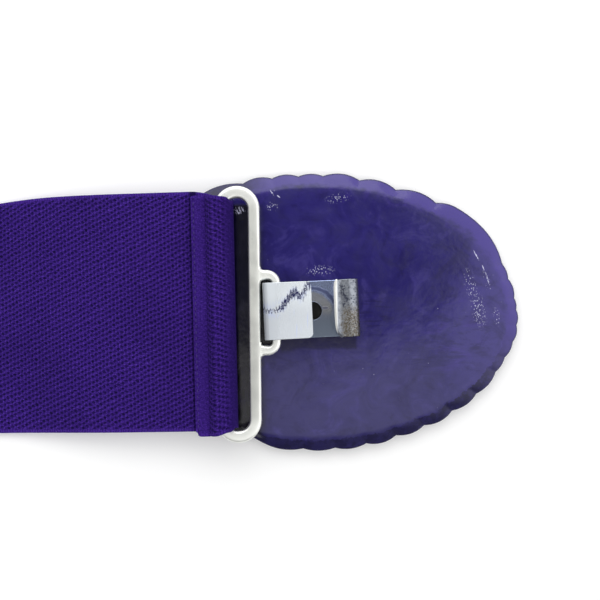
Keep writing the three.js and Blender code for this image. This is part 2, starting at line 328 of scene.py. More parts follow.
class Recipe:
    """A material's nodes, with a short call for each kind that the finishes need."""

    def __init__(self, name: str) -> None:
        """Starts a material with its surface shader.

        Args:
            name: The material's name.
        """
        self.material = bpy.data.materials.new(name)
        self.material.use_nodes = True
        self.tree = self.material.node_tree
        self.surface = self.tree.nodes["Principled BSDF"]

    def node(self, kind: str, **settings: object) -> bpy.types.Node:
        """Adds a node.

        Args:
            kind: The node's type, without its usual start.
            settings: The node's settings.

        Returns:
            The node.
        """
        made = self.tree.nodes.new(f"ShaderNode{kind}")
        for key, value in settings.items():
            setattr(made, key, value)
        return made

    def signal(self, kind: str, inputs: dict[int | str, Value], output: int | str = 0,
               **settings: object) -> Signal:
        """Adds a node that is wanted for one of its outputs.

        Args:
            kind: The node's type, without its usual start.
            inputs: What goes into its sockets.
            output: The socket that is wanted.
            settings: The node's settings.

        Returns:
            The output.
        """
        made = self.node(kind, **settings)
        for key, value in inputs.items():
            self.feed(made.inputs[key], value)
        return Signal(self, made.outputs[output])

    def feed(self, socket: bpy.types.NodeSocket, value: Value) -> None:
        """Links a socket to another one, or sets its number or colour."""
        if isinstance(value, Signal):
            self.tree.links.new(value.socket, socket)
        elif isinstance(value, (int, float)):
            socket.default_value = value
        else:
            socket.default_value = (*value, 1) if len(socket.default_value) == 4 else value

    def math(self, operation: str, a: Value, b: Value = 0.0, c: Value = 0.0) -> Signal:
        """Works out one step of arithmetic.

        Args:
            operation: What is done.
            a: The first number.
            b: The second number.
            c: The third number.

        Returns:
            The result.
        """
        return self.signal("Math", {0: a, 1: b, 2: c}, operation=operation)

    def ease(self, value: Value, low: float, high: float) -> Signal:
        """Gives 0 below low and 1 above high, with a smooth step between them."""
        bounds = (high, low, 1.0, 0.0) if low > high else (low, high, 0.0, 1.0)
        inputs = dict(enumerate((value, *bounds)))
        return self.signal("MapRange", inputs, interpolation_type="SMOOTHSTEP")

    def mix(self, share: Value, a: Value, b: Value) -> Signal:
        """Mixes two colours by a share."""
        return self.signal("Mix", {0: share, 6: a, 7: b}, 2, data_type="RGBA")

    def coats(self, colour: Value, *layers: tuple[Value, Value]) -> Value:
        """Lays one colour after another over the first.

        Args:
            colour: The colour underneath.
            layers: Each coat's share and its colour, in order.

        Returns:
            The colour with its coats.
        """
        for share, coat in layers:
            colour = self.mix(share, colour, coat)
        return colour

    def noise(self, place: Value, scale: float, detail: float = 2,
              rough: float = 0.5, bend: float = 0) -> Signal:
        """Gives a cloudy pattern from 0 to 1.

        Args:
            place: Where on the piece.
            scale: How many clouds there are to the unit of place.
            detail: How many finer layers it has.
            rough: How strong the finer layers are.
            bend: How far it is distorted.

        Returns:
            The pattern.
        """
        return self.signal("TexNoise", {
            "Vector": place, "Scale": scale, "Detail": detail, "Roughness": rough,
            "Distortion": bend})

    def stretch(self, place: Value, scale: Sequence[float], turn: float = 0) -> Signal:
        """Scales a place by its own number along each axis, and turns it about Z."""
        turned = (0, 0, math.radians(turn))
        return self.signal("Mapping", {"Vector": place, "Scale": scale, "Rotation": turned})

    def spot(self, place: Value, middle: Sequence[float], reach: Sequence[float],
             soft: float = 1, turn: float = 0) -> Signal:
        """Gives a soft oval patch, 1 in its middle and 0 outside, seen from above.

        Args:
            place: Where on the piece, in millimetres.
            middle: The patch's middle along X and Y.
            reach: How far it reaches along X and Y.
            soft: The share of its reach over which it fades.
            turn: How far it is turned, in degrees.

        Returns:
            The patch.
        """
        flat = self.stretch(self.offset(place, middle), (1, 1, 0), -turn)
        size = self.length(self.stretch(flat, (1 / reach[0], 1 / reach[1], 0)))
        return self.ease(size, 1.0, 1.0 - soft)

    def curve(self, value: Value, points: Sequence[tuple[float, float]]) -> Signal:
        """Reads the height of a smooth line through some points.

        Args:
            value: Where along the line it is read.
            points: The line's points, each a place and a height, in order.

        Returns:
            The height there.
        """
        made = self.node("FloatCurve")
        start, end = points[0][0], points[-1][0]
        low, high = min(y for _, y in points), max(y for _, y in points)
        line = made.mapping.curves[0]
        for spot, (x, y) in zip(line.points, (points[0], points[-1])):
            spot.location = ((x - start) / (end - start), (y - low) / (high - low))
        for x, y in points[1:-1]:
            line.points.new((x - start) / (end - start), (y - low) / (high - low))
        made.mapping.update()
        self.feed(made.inputs["Value"], (value - start) / (end - start))
        return Signal(self, made.outputs[0]) * (high - low) + low

    def specks(self, place: Value, pitch: float, size: float, share: float) -> Signal:
        """Scatters small round dots.

        Args:
            place: Where on the piece, in millimetres.
            pitch: The usual distance between two places for a dot.
            size: A dot's radius.
            share: The share of the places that have one.

        Returns:
            The dots, 1 in their middle.
        """
        cells = self.node("TexVoronoi", feature="F1")
        self.feed(cells.inputs["Vector"], place)
        cells.inputs["Scale"].default_value = 1 / pitch
        dot = self.ease(Signal(self, cells.outputs["Distance"]), size / pitch, size / pitch * 0.5)
        chance = self.axes(Signal(self, cells.outputs["Color"]))[0]
        return dot * self.math("LESS_THAN", chance, share)

    def band(self, value: Value, low: float, high: float, soft: float) -> Signal:
        """Gives 1 between two values and fades to 0 outside them."""
        return self.ease(value, low - soft, low) * self.ease(value, high + soft, high)

    def axes(self, place: Value) -> list[Signal]:
        """Splits a place into its three numbers."""
        made = self.node("SeparateXYZ")
        self.feed(made.inputs[0], place)
        return [Signal(self, socket) for socket in made.outputs]

    def offset(self, place: Value, middle: Sequence[float]) -> Signal:
        """Gives a place as seen from a middle that is known along X and Y."""
        return self.signal("VectorMath", {0: place, 1: (*middle, 0)}, operation="SUBTRACT")

    def length(self, place: Value) -> Signal:
        """Gives a place's distance from zero."""
        return self.signal("VectorMath", {0: place}, "Value", operation="LENGTH")

    def millimetres(self) -> Signal:
        """Gives the place on the piece, in millimetres."""
        return self.stretch(self.signal("TexCoord", {}, "Object"), (1000, 1000, 1000))

    def bump(self, height: Value, depth: float, normal: Value | None = None) -> Signal:
        """Turns a height pattern into relief.

        Args:
            height: The pattern.
            depth: How deep it is, in metres.
            normal: The relief that it lies on.

        Returns:
            The surface's direction.
        """
        below = {} if normal is None else {"Normal": normal}
        return self.signal("Bump", {"Distance": depth, "Height": height, **below})

    def set(self, **settings: Value) -> None:
        """Sets the surface shader's sockets, an underscore standing for a blank."""
        for key, value in settings.items():
            self.feed(self.surface.inputs[key.replace("_", " ")], value)


@dataclass(frozen=True)
class Finish:
    """What every finish has in common: a name and a material made on first use.

    The places, lengths and widths of a finish are in millimetres.
    """

    name: str

    def material(self) -> bpy.types.Material:
        """Gives the finish's material, made once."""
        return bpy.data.materials.get(self.name) or self.mix_material()

    def mix_material(self) -> bpy.types.Material:
        """Builds the material's nodes."""
        raise NotImplementedError


@dataclass(frozen=True)
class KnittedElastic(Finish):
    """Violet knitted elastic with a slanted lattice of dark holes between its threads."""

    name: str = "knitted_elastic"
    thread: Colour = srgb(44, 18, 106)
    bright: Colour = srgb(92, 56, 174)
    hole: Colour = srgb(12, 1, 52)
    lint: Colour = srgb(120, 100, 190)
    column: float = 1.21
    row: float = 1.64
    hole_size: float = 0.6
    knot_size: float = 0.5
    roundness: tuple[float, float] = (1.12, 0.95)
    edge_pitch: float = 0.85
    needle_pitch: float = 1.85
    half_width: float = 38.1
    length: float = 653.0
    needle_rows: tuple[float, float] = (0.85, 4.9)
    step_foot: float = 29.3
    fold: tuple[float, float] = (11.4, 18.5)

    def lattice(self, mix: Recipe, along: Value, across: Value, shift: float, size: float) -> Value:
        """Gives one soft dot at each point of the slanted lattice.

        Args:
            mix: The material that it is for.
            along: Place along the cut, in millimetres.
            across: Place across it.
            shift: How far the dots are shifted, in shares of a cell.
            size: The dots' radius, in millimetres.

        Returns:
            The dots, 1 in their middle.
        """
        column = along / self.column
        row = column * (1 / 3) + across / self.row
        in_column = mix.math("FRACT", column + (0.5 + shift)) - 0.5
        in_row = mix.math("FRACT", row + (0.5 + shift)) - 0.5
        wide, high = (size * share for share in self.roundness)
        x = in_column * (self.column / wide)
        y = in_row * (self.row / high) + in_column * (-self.row / 3 / high)
        far = mix.math("SQRT", x * x + y * y)
        return mix.ease(far, 1.0, 0.35)

    def crease(self, mix: Recipe, to_end: Value, at: float, width: float) -> Value:
        """Gives a line across the strap at a distance from its cut end, in millimetres."""
        return mix.ease(abs(to_end - at), width, width * 0.3)

    def mix_material(self) -> bpy.types.Material:
        """Builds the knit from the cut's own map."""
        mix = Recipe(self.name)
        cut = mix.stretch(mix.signal("UVMap", {}, uv_map="cut"), (1000, 1000, 1000))
        length_way, cross_way, _ = mix.axes(cut)
        wander = mix.noise(cut, 0.45, 1) - 0.5
        along = wander * 0.8 + length_way
        across = wander + cross_way
        edge = mix.ease(abs(cross_way), self.half_width - 1.5, self.half_width - 0.7)
        to_end = self.length / 2 - abs(length_way - self.length / 2)
        first, second = self.needle_rows
        hem = mix.ease(to_end, second - 0.3, second - 1.2)
        start, end = self.fold
        fold = mix.ease(to_end, start, start + 2) * mix.ease(to_end, end, end - 2)
        plain = edge | hem * 0.72 | fold * 0.75
        shown = 1 - plain
        uneven = mix.ease(mix.noise(cut, 0.8, 2), 0.3, 0.7)
        flap = mix.ease(to_end, start + 1, start - 1)
        holes = self.lattice(mix, along, across, 0, self.hole_size) * shown * (flap * -0.1 + 1)
        knots = self.lattice(mix, along, across, 0.5, self.knot_size) * shown * uneven
        strokes = edge * (mix.math("SINE", along * (math.tau / self.edge_pitch)) * 0.5 + 0.5)
        fibre = mix.noise(mix.stretch(cut, (1.6, 3.4, 1)), 1.2, 3, 0.7)
        cloud = mix.noise(cut, 0.035, 2)
        needle = mix.math("COSINE", across * (math.tau / self.needle_pitch)) * 0.5 + 0.5
        # Painted shade in the groove of the stitch row nearer the ring, dark needle marks along the
        # row by the cut end, and a painted shadow on the strap just past the flap's cut edge at
        # step_foot.
        sewn = (self.crease(mix, to_end, second, 0.75) * 0.8
                | self.crease(mix, to_end, first, 0.45) * mix.ease(needle, 0.3, 0.9)
                | self.crease(mix, to_end, self.step_foot, 1.8) * 0.9)
        frayed = mix.ease(mix.noise(mix.stretch(cut, (2.2, 2.2, 1)), 1.0, 2, 0.6), 0.54, 0.66)
        # Painted shade: the fold that turns under the ring's bar is darkened with the holes'
        # colour.
        turned = mix.ease(to_end, start - 0.8, start + 2.6) * mix.ease(to_end, end, end - 2)
        colour = mix.coats(
            self.thread,
            ((knots | hem * 0.2) * 0.5, self.bright),
            (strokes * 0.35, self.bright),
            (mix.ease(fibre, 0.48, 0.72), self.bright),
            (holes * (uneven * 0.45 + 0.55), self.hole),
            (frayed * ((hem | flap) * 0.25 + 0.38), self.hole),
            (turned * 0.62, self.hole),
            (mix.ease(to_end, start + 2, start) * 0.07, self.hole),
            (sewn, self.hole),
            (mix.ease(cloud, 0.42, 0.7) * 0.16, self.hole))
        height = holes * -1.3 + fibre * 0.5 + knots + strokes * 0.5
        mix.set(Base_Color=colour, Roughness=0.85, Normal=mix.bump(height, 0.2 * MM),
                Specular_IOR_Level=0.1, Sheen_Weight=0.03, Sheen_Roughness=0.5,
                Sheen_Tint=self.lint)
        return mix.material


@dataclass(frozen=True)
class Thread(Finish):
    """Sewing thread, violet, that shows pale where it has worn."""

    name: str = "sewing_thread"
    violet: Colour = srgb(62, 36, 122)
    shaded: Colour = srgb(38, 20, 90)
    pale: Colour = srgb(150, 134, 182)

    def mix_material(self) -> bpy.types.Material:
        """Builds the thread's twist and its pale stretches."""
        mix = Recipe(self.name)
        place = mix.millimetres()
        x, y, _ = mix.axes(place)
        pale_mask = mix.ease(mix.noise(place, 0.8, 2), 0.35, 0.6)
        worn = (mix.ease(y, 14, -6) * 0.5 + 0.5) * mix.ease(x, -36, -35) * pale_mask
        twist = mix.noise(mix.stretch(place, (6, 2, 6), 30), 1, 2)
        colour = mix.coats(self.violet, (twist, self.shaded), (worn, self.pale))
        mix.set(Base_Color=colour, Roughness=0.6, Normal=mix.bump(twist, 0.1 * MM),
                Specular_IOR_Level=0.3)
        return mix.material


@dataclass(frozen=True)
class SatinPlate(Finish):
    """Satin plated cast metal, as tumbled parts have."""

    name: str = "satin_cast_metal"
    metal: Colour = srgb(230, 231, 225)
    dull: Colour = srgb(204, 205, 200)
    bright: Colour = srgb(252, 253, 248)
    pit: Colour = srgb(120, 120, 118)

    def mix_material(self) -> bpy.types.Material:
        """Builds the satin with a fine grain, faint dull patches, painted shade towards -Y and
        painted highlights on the ring's ends and right edge.
        """
        mix = Recipe(self.name)
        place = mix.millimetres()
        cloud = mix.noise(place, 0.12, 3)
        grain = mix.noise(mix.stretch(place, (3, 0.5, 3)), 2, 3, 0.6)
        pits = mix.specks(place, 2.2, 0.22, 0.2)
        x, y, _ = mix.axes(place)
        # Painted highlights: the arcs at both ends of a ring, and the outer side of the near ring's
        # right bar with its small loop, are painted bright.
        pale_mask = mix.ease(abs(y), 32, 36) | mix.ease(x, -18.2, -16.8)
        colour = mix.coats(
            self.metal,
            (mix.ease(cloud, 0.35, 0.7), self.dull),
            # Painted shade: the satin darkens towards -Y, away from the lamp.
            (mix.ease(y, 12, -24) * 0.5, self.dull),
            (pale_mask * 0.85, self.bright),
            (pits * 0.35, self.pit))
        relief = mix.bump(pits * -0.6 + grain, 0.012 * MM)
        mix.set(Base_Color=colour, Metallic=1.0, Roughness=grain * 0.16 + 0.34, Normal=relief)
        return mix.material


@dataclass(frozen=True)
class TarnishedNickel(Finish):
    """Bright nickel plate on a sheet strip, with blue stains, streaks and brown spots."""

    name: str = "tarnished_nickel"
    metal: Colour = srgb(196, 201, 207)
    stain: Colour = srgb(22, 22, 74)
    haze: Colour = srgb(184, 194, 228)
    slate: Colour = srgb(150, 158, 182)
    sky: Colour = srgb(180, 196, 244)
    pale: Colour = srgb(226, 232, 236)
    rust: Colour = srgb(84, 74, 54)
    dark_tone: Colour = srgb(40, 44, 62)
    tip: Colour = srgb(248, 248, 244)
    base: Colour = srgb(148, 162, 182)
    ring: Colour = srgb(206, 206, 204)
    lip: Colour = srgb(146, 151, 160)
    lip_dull: Colour = srgb(104, 107, 118)
    lip_warm: Colour = srgb(138, 132, 122)
    pin: tuple[float, float] = (-12.0, 0.5)
    hole: tuple[float, float] = (-0.5, 0.4)
    stain_line: tuple[tuple[float, float], ...] = (
        (-4.0, 0.5), (-2.5, 0.1), (0.0, 0.3), (1.2, 0.9), (3.4, 3.4), (5.3, 5.5), (6.2, 5.8),
        (7.5, 4.8), (9.0, 6.6), (10.2, 8.4), (11.8, 9.6))
    squiggle_line: tuple[tuple[float, float], ...] = (
        (0.5, 21.4), (2.2, 21.0), (3.2, 22.0), (4.4, 21.6), (5.6, 20.6), (6.8, 20.8),
        (8.2, 19.6))

    def mix_material(self) -> bpy.types.Material:
        """Builds the plate and its tarnish, placed from the pin's middle, with painted highlights.
        """
        mix = Recipe(self.name)
        place = mix.millimetres()
        x, y, z = mix.axes(mix.offset(place, self.pin))
        top = mix.ease(z, 10.4, 10.8)
        ragged = mix.noise(place, 1.3, 4, 0.75) - 0.5
        crumbs = mix.ease(mix.noise(place, 2.1, 2, 0.6), 0.42, 0.52)
        flap = mix.ease(x, 12.4, 12.0) * top
        teeth = mix.math("PINGPONG", x, 0.45) * 2.4
        off = teeth + (y - (ragged * 4.0 + mix.curve(x, self.stain_line)) - 0.5)
        heavy = mix.ease(x, 0.4, 2.4) * mix.ease(x, 8.6, 6.4)
        near = abs(off) / (heavy * 1.2 + 0.55)
        drawn = mix.ease(near, 1.0, 0.55) * (crumbs | heavy * 0.65) * flap
        combed = mix.ease(mix.noise(mix.stretch(place, (2.6, 0.5, 0), 8), 1, 2), 0.44, 0.52)
        fringe = combed * mix.ease(abs(off), 2.6, 1.0) * mix.ease(x, 7.6, 8.8) * flap
        drawn = drawn | fringe * 0.85
        glow = mix.ease(abs(off), 3.4, 0.2) * mix.ease(mix.noise(place, 0.5, 2), 0.3, 0.6) * flap
        streak = mix.ease(mix.noise(mix.stretch(place, (1.1, 0.1, 0), -10), 1, 2), 0.58, 0.68)
        streak = streak * mix.ease(y, 1.5, -1.5) * mix.ease(x, 3.0, 4.0) * flap
        # Painted highlight: a near-white band across the lip's curled tip.
        tip = mix.ease(x, 19.3, 18.9) * mix.ease(x, 15.0, 16.0) * mix.ease(z, 13.0, 13.4)
        colour = mix.coats(
            self.metal,
            # Painted highlight: the strip is paler towards +Y, the lamp's side.
            (mix.ease(y, -2.0, 6.0) * 0.5, self.pale),
            (glow * 0.55, self.haze),
            (streak * 0.45, self.haze),
            (drawn, self.stain),
            (tip, self.tip))
        colour, base_worn = self.dress_base(mix, place, x, y, z, colour)
        colour, hook_worn = self.dress_hook(mix, place, x, y, top, colour)
        worn = drawn | base_worn | hook_worn
        fine = mix.noise(mix.stretch(place, (4, 0.6, 4)), 1.5, 3, 0.6)
        rough = worn * 0.3 + fine * 0.08 + tip * 0.45 + mix.ease(x, 1.0, -1.2) * 0.3 + 0.15
        relief = mix.bump(worn * -0.6 + fine, 0.012 * MM)
        mix.set(Base_Color=colour, Metallic=1.0, Roughness=rough, Normal=relief)
        return mix.material

    def dress_base(self, mix: Recipe, place: Value, x: Value, y: Value, z: Value,
                   colour: Value) -> tuple[Value, Value]:
        """Adds the slate tone and the rings round the hole to the strip's flat base.

        Args:
            mix: The material.
            place: Where on the piece, in millimetres.
            x: Place along the strip from the pin.
            y: Place across it.
            z: Height.
            colour: The colour so far.

        Returns:
            The colour, and how worn the plate is there.
        """
        base = mix.ease(z, 9.6, 9.2) * mix.ease(x, 10.0, 11.0)
        from_hole = mix.length(mix.stretch(mix.offset(place, self.hole), (1, 1, 0)))
        r = (mix.noise(place, 0.5, 2) - 0.5) * 1.2 + from_hole
        pale = mix.ease(r, 2.6, 3.6) * mix.ease(r, 6.4, 5.4) * mix.ease(y, -2.5, 1.0)
        arc = mix.ease(abs(r - 7.2), 1.1, 0.2) * mix.ease(y, 1.0, 3.0)
        smudge = mix.spot(place, (3.4, 1.3), (1.8, 0.7), 0.7)
        marks = base * (arc * 0.8 | smudge * 0.7)
        colour = mix.coats(
            colour,
            (base * 0.85, mix.mix(mix.ease(y, 0.0, 5.0), self.slate, self.sky)),
            (base * mix.ease(y, 2.0, -5.0) * 0.75, self.base),
            (base * pale * 0.7, self.ring),
            (marks, self.stain))
        return colour, marks


    def dress_hook(self, mix: Recipe, place: Value, x: Value, y: Value, top: Value,
                   colour: Value) -> tuple[Value, Value]:
        """Adds the dull face, the brown spots and the dark squiggle to the hook's lip.

        Args:
            mix: The material.
            place: Where on the piece, in millimetres.
            x: Place along the strip from the pin.
            y: Place across it.
            top: Where the strip's upper parts are.
            colour: The colour so far.

        Returns:
            The colour, and how worn the plate is there.
        """
        ragged = mix.noise(place, 0.9, 3, 0.7) - 0.5
        face = mix.ease(x, 18.9, 19.5) * top
        grit = mix.ease(mix.noise(place, 1.9, 4, 0.8), 0.45, 0.54)
        low = mix.ease(ragged * 7 + y, 2.5, -1.0)
        right = mix.ease(ragged * 5 + x, 19.8, 21.6)
        brown = face * grit * low * right
        line = ragged * 3.2 + mix.curve(y, self.squiggle_line)
        squiggle = (mix.ease(abs(x - line), 0.8, 0.4) * mix.band(y, 1.4, 7.6, 0.8)
                    * mix.ease(mix.noise(place, 1.8, 2), 0.42, 0.5) * top)
        spots = mix.specks(place, 0.8, 0.32, 0.6) * mix.ease(x, 20.6, 24.0) * top
        mottled = mix.ease(mix.noise(place, 0.8, 4, 0.75), 0.42, 0.62)
        colour = mix.coats(
            colour,
            (face * 0.9, mix.mix(mottled, self.lip, self.lip_dull)),
            (face * low * right * 0.45, self.lip_warm),
            (brown * 0.85, self.rust),
            ((squiggle | spots) * 0.85, self.dark_tone))
        return colour, face * 0.35 | brown | squiggle


@dataclass(frozen=True)
class CloudyResin(Finish):
    """Glossy blue violet resin, clouded and brushed, its bevel painted pale as a reflection on the
    lit side and dark as shade on the others.
    """

    name: str = "cloudy_resin"
    deep: Colour = srgb(30, 23, 91)
    clear: Colour = srgb(38, 31, 102)
    lower_pale: Colour = srgb(47, 42, 98)
    bright: Colour = srgb(60, 52, 124)
    dark: Colour = srgb(17, 9, 66)
    rim: Colour = srgb(60, 46, 130)
    # The darkest indigo: painted shadow and shade, and the bevel's dark edge line.
    dark_tone: Colour = srgb(10, 3, 56)
    glue: Colour = srgb(3, 3, 2)
    shade_grey: Colour = srgb(32, 29, 40)
    shade: Colour = srgb(0, 0, 6)
    fleck: Colour = srgb(202, 201, 230)
    strokes: tuple[Patch, ...] = (
        ((-24.4, 32.9), (0.34, 1.2), 25), ((-23.4, 32.9), (0.34, 1.4), 22),
        ((-22.6, 33.2), (0.3, 1.1), 30), ((-23.8, 32.0), (0.9, 0.34), 10),
        ((52.2, 17.6), (0.24, 2.2), 27), ((54.4, 13.6), (0.18, 1.2), 20),
        ((55.6, 10.4), (0.2, 2.4), 16), ((-13.2, 38.6), (0.2, 1.0), 40),
        ((-11.0, 37.2), (0.2, 0.8), 50))
    dusty: tuple[Patch, ...] = (
        ((50.2, 8.0), (2.4, 7.0), 14), ((52.6, 0.5), (3.0, 8.0), 12),
        ((55.6, 9.0), (1.1, 5.6), 14), ((-13.0, 34.0), (2.6, 2.0), 0),
        ((-12.6, 38.4), (1.0, 2.6), 50), ((-23.6, 32.8), (2.4, 1.8), 0),
        ((8.0, 36.5), (5.0, 2.0), 10), ((2.0, 13.2), (6.0, 2.2), 0),
        ((58.5, -2.0), (1.4, 4.0), 10))

    def mix_material(self) -> bpy.types.Material:
        """Builds the clouds, strokes, flecks and scratches of the plate's back, and the painted
        shade and shadow under the ring, the strap and the clip.
        """
        mix = Recipe(self.name)
        place = mix.millimetres()
        cloud = mix.noise(place, 0.035, 4, 0.55, 0.6)
        small = mix.noise(place, 0.16, 3, 0.6, 0.4)
        fine = mix.noise(place, 0.9, 3, 0.6)
        patch = mix.noise(place, 0.1, 5, 0.62, 1.4)
        x, y, z = mix.axes(place)
        back = mix.ease(z, 3.3, 3.8)
        # Painted shade on the back where the ring and the strap lie over it.
        covered = back * mix.ease(small * 3 + x, -13.5, -18.5)
        # Painted shade in the lower gap by the ring: grey, with darker smears.
        low_left = covered * mix.ease(y, -10, -14)
        # Painted shadow cast by the clip on the plate along its lower edge.
        under_clip = mix.band(x, -10.4, 12.8, 1.2) * mix.band(small * 3 + y, -9.6, -6, 1.4)
        # Painted shade on the plate inside the ring's small loop, round the clip's fold.
        in_loop = mix.band(x, -17.6, -12.6, 0.8) * mix.band(y, -10.0, 11.0, 0.8) * back
        right_side = mix.spot(place, (46, -8), (17, 19), 0.7)
        brushed = (mix.spot(place, (19, -1), (8, 11), 0.6)
                   | mix.spot(place, (38, -14), (16, 10), 0.7) * 0.7
                   | mix.spot(place, (-11, -28.5), (6, 2.6), 0.6))
        wiped = mix.noise(mix.stretch(place, (0.1, 0.9, 0), 8), 1, 3, 0.6)
        smeary = mix.noise(mix.stretch(place, (0.09, 0.26, 0), 9), 1, 5, 0.68, 0.5)
        smeared = mix.ease(mix.noise(mix.stretch(place, (1, 0.35, 1), 6), 0.5, 4, 0.7), 0.44, 0.6)
        colour = mix.coats(
            self.deep,
            (mix.ease(cloud, 0.35, 0.68), self.clear),
            # Paler over the lower side, and over the right end.
            (mix.spot(place, (2, -26), (62, 26), 0.75) * 0.75, self.lower_pale),
            (mix.spot(place, (58, -2), (21, 38), 0.75) * 0.75, self.bright),
            (mix.ease(patch, 0.5, 0.72) * 0.6, self.bright),
            (mix.ease(patch, 0.5, 0.3) * 0.55, self.dark),
            (covered * mix.ease(y, 35.5, 34) * 0.9, self.shade),
            (low_left * 0.8, self.shade_grey),
            (mix.ease(smeary, 0.5, 0.36) * right_side * 0.6, self.rim),
            (mix.ease(smeary, 0.52, 0.64) * right_side * 0.6, self.dark),
            (mix.ease(wiped, 0.5, 0.64) * brushed * 0.6, self.dark),
            (mix.ease(small, 0.5, 0.75) * 0.3, self.dark),
            (under_clip * back * 0.85, self.dark_tone),
            (low_left * smeared * 0.9, self.shade),
            (in_loop * 0.95, self.shade))
        colour = self.dress_rim(mix, place, small, fine, colour)
        marks = self.marks(mix, place) * back
        glued = back * mix.spot(place, (-0.5, 0.1), (3.6, 3.6), 0.15)
        colour = mix.coats(colour, (marks, self.fleck), (glued, self.glue))
        wavy = mix.bump(cloud, 0.3 * MM)
        relief = mix.bump(small * 0.7 + fine * 0.18, 0.1 * MM, wavy)
        rough = mix.ease(small, 0.3, 0.8) * 0.14 + marks * 0.3 + 0.14
        mix.set(Base_Color=colour, Roughness=rough, Normal=relief, IOR=1.48)
        return mix.material

    def dress_rim(self, mix: Recipe, place: Value, small: Value, fine: Value,
                  colour: Value) -> Value:
        """Paints the bevel pale on its lit upper right as a painted reflection, and dark below and
        on the left as painted shade, with a dark edge line.

        Args:
            mix: The material.
            place: Where on the piece, in millimetres.
            small: A small cloudy pattern.
            fine: A finer one.
            colour: The colour so far.

        Returns:
            The colour with the rim's.
        """
        x, y, z = mix.axes(place)
        uneven = small * 1.9 + fine * 0.5 + z
        ragged = fine + small * 0.8 + z
        # Painted reflection on the lit upper right of the bevel, painted shade on the rest of it.
        lit = mix.ease(x * 0.012 + y * 0.026, -0.1, 0.7) * mix.ease(x, -26, -12)
        pale = mix.ease(uneven, 6.9, 6.1) * mix.ease(z, 3.2, 3.6) * lit
        patchy = mix.ease(mix.noise(mix.stretch(place, (1, 1, 0.4)), 0.35, 4, 0.7), 0.6, 0.42)
        under = mix.ease(ragged, 6.0, 5.88) * (1 - lit) * (patchy * 0.4 + 0.6)
        outline = mix.ease(z, 3.5, 3.25) * mix.ease(z, 1.0, 2.0)
        return mix.coats(colour, (pale * 0.9, self.rim), (under * 0.95 | outline * 0.8, self.dark_tone))

    def marks(self, mix: Recipe, place: Value) -> Value:
        """Scatters the pale flecks, the dust in groups and the scratches.

        Args:
            mix: The material.
            place: Where on the piece, in millimetres.

        Returns:
            Where the marks are.
        """
        sparse = mix.ease(mix.noise(place, 0.05, 1), 0.48, 0.6)
        found = mix.specks(place, 3.0, 0.2, 0.35) * sparse * 0.4
        dust = mix.specks(mix.stretch(place, (1, 0.7, 1), 20), 0.46, 0.2, 0.75) * 0.7
        for middle, reach, turn in self.dusty:
            found = found | dust * mix.spot(place, middle, reach, 0.8, turn)
        broken = mix.ease(mix.noise(place, 1.8, 2), 0.36, 0.5)
        for middle, reach, turn in self.strokes:
            found = found | mix.spot(place, middle, reach, 0.5, turn) * broken * 0.95
        return found


# Cast rings


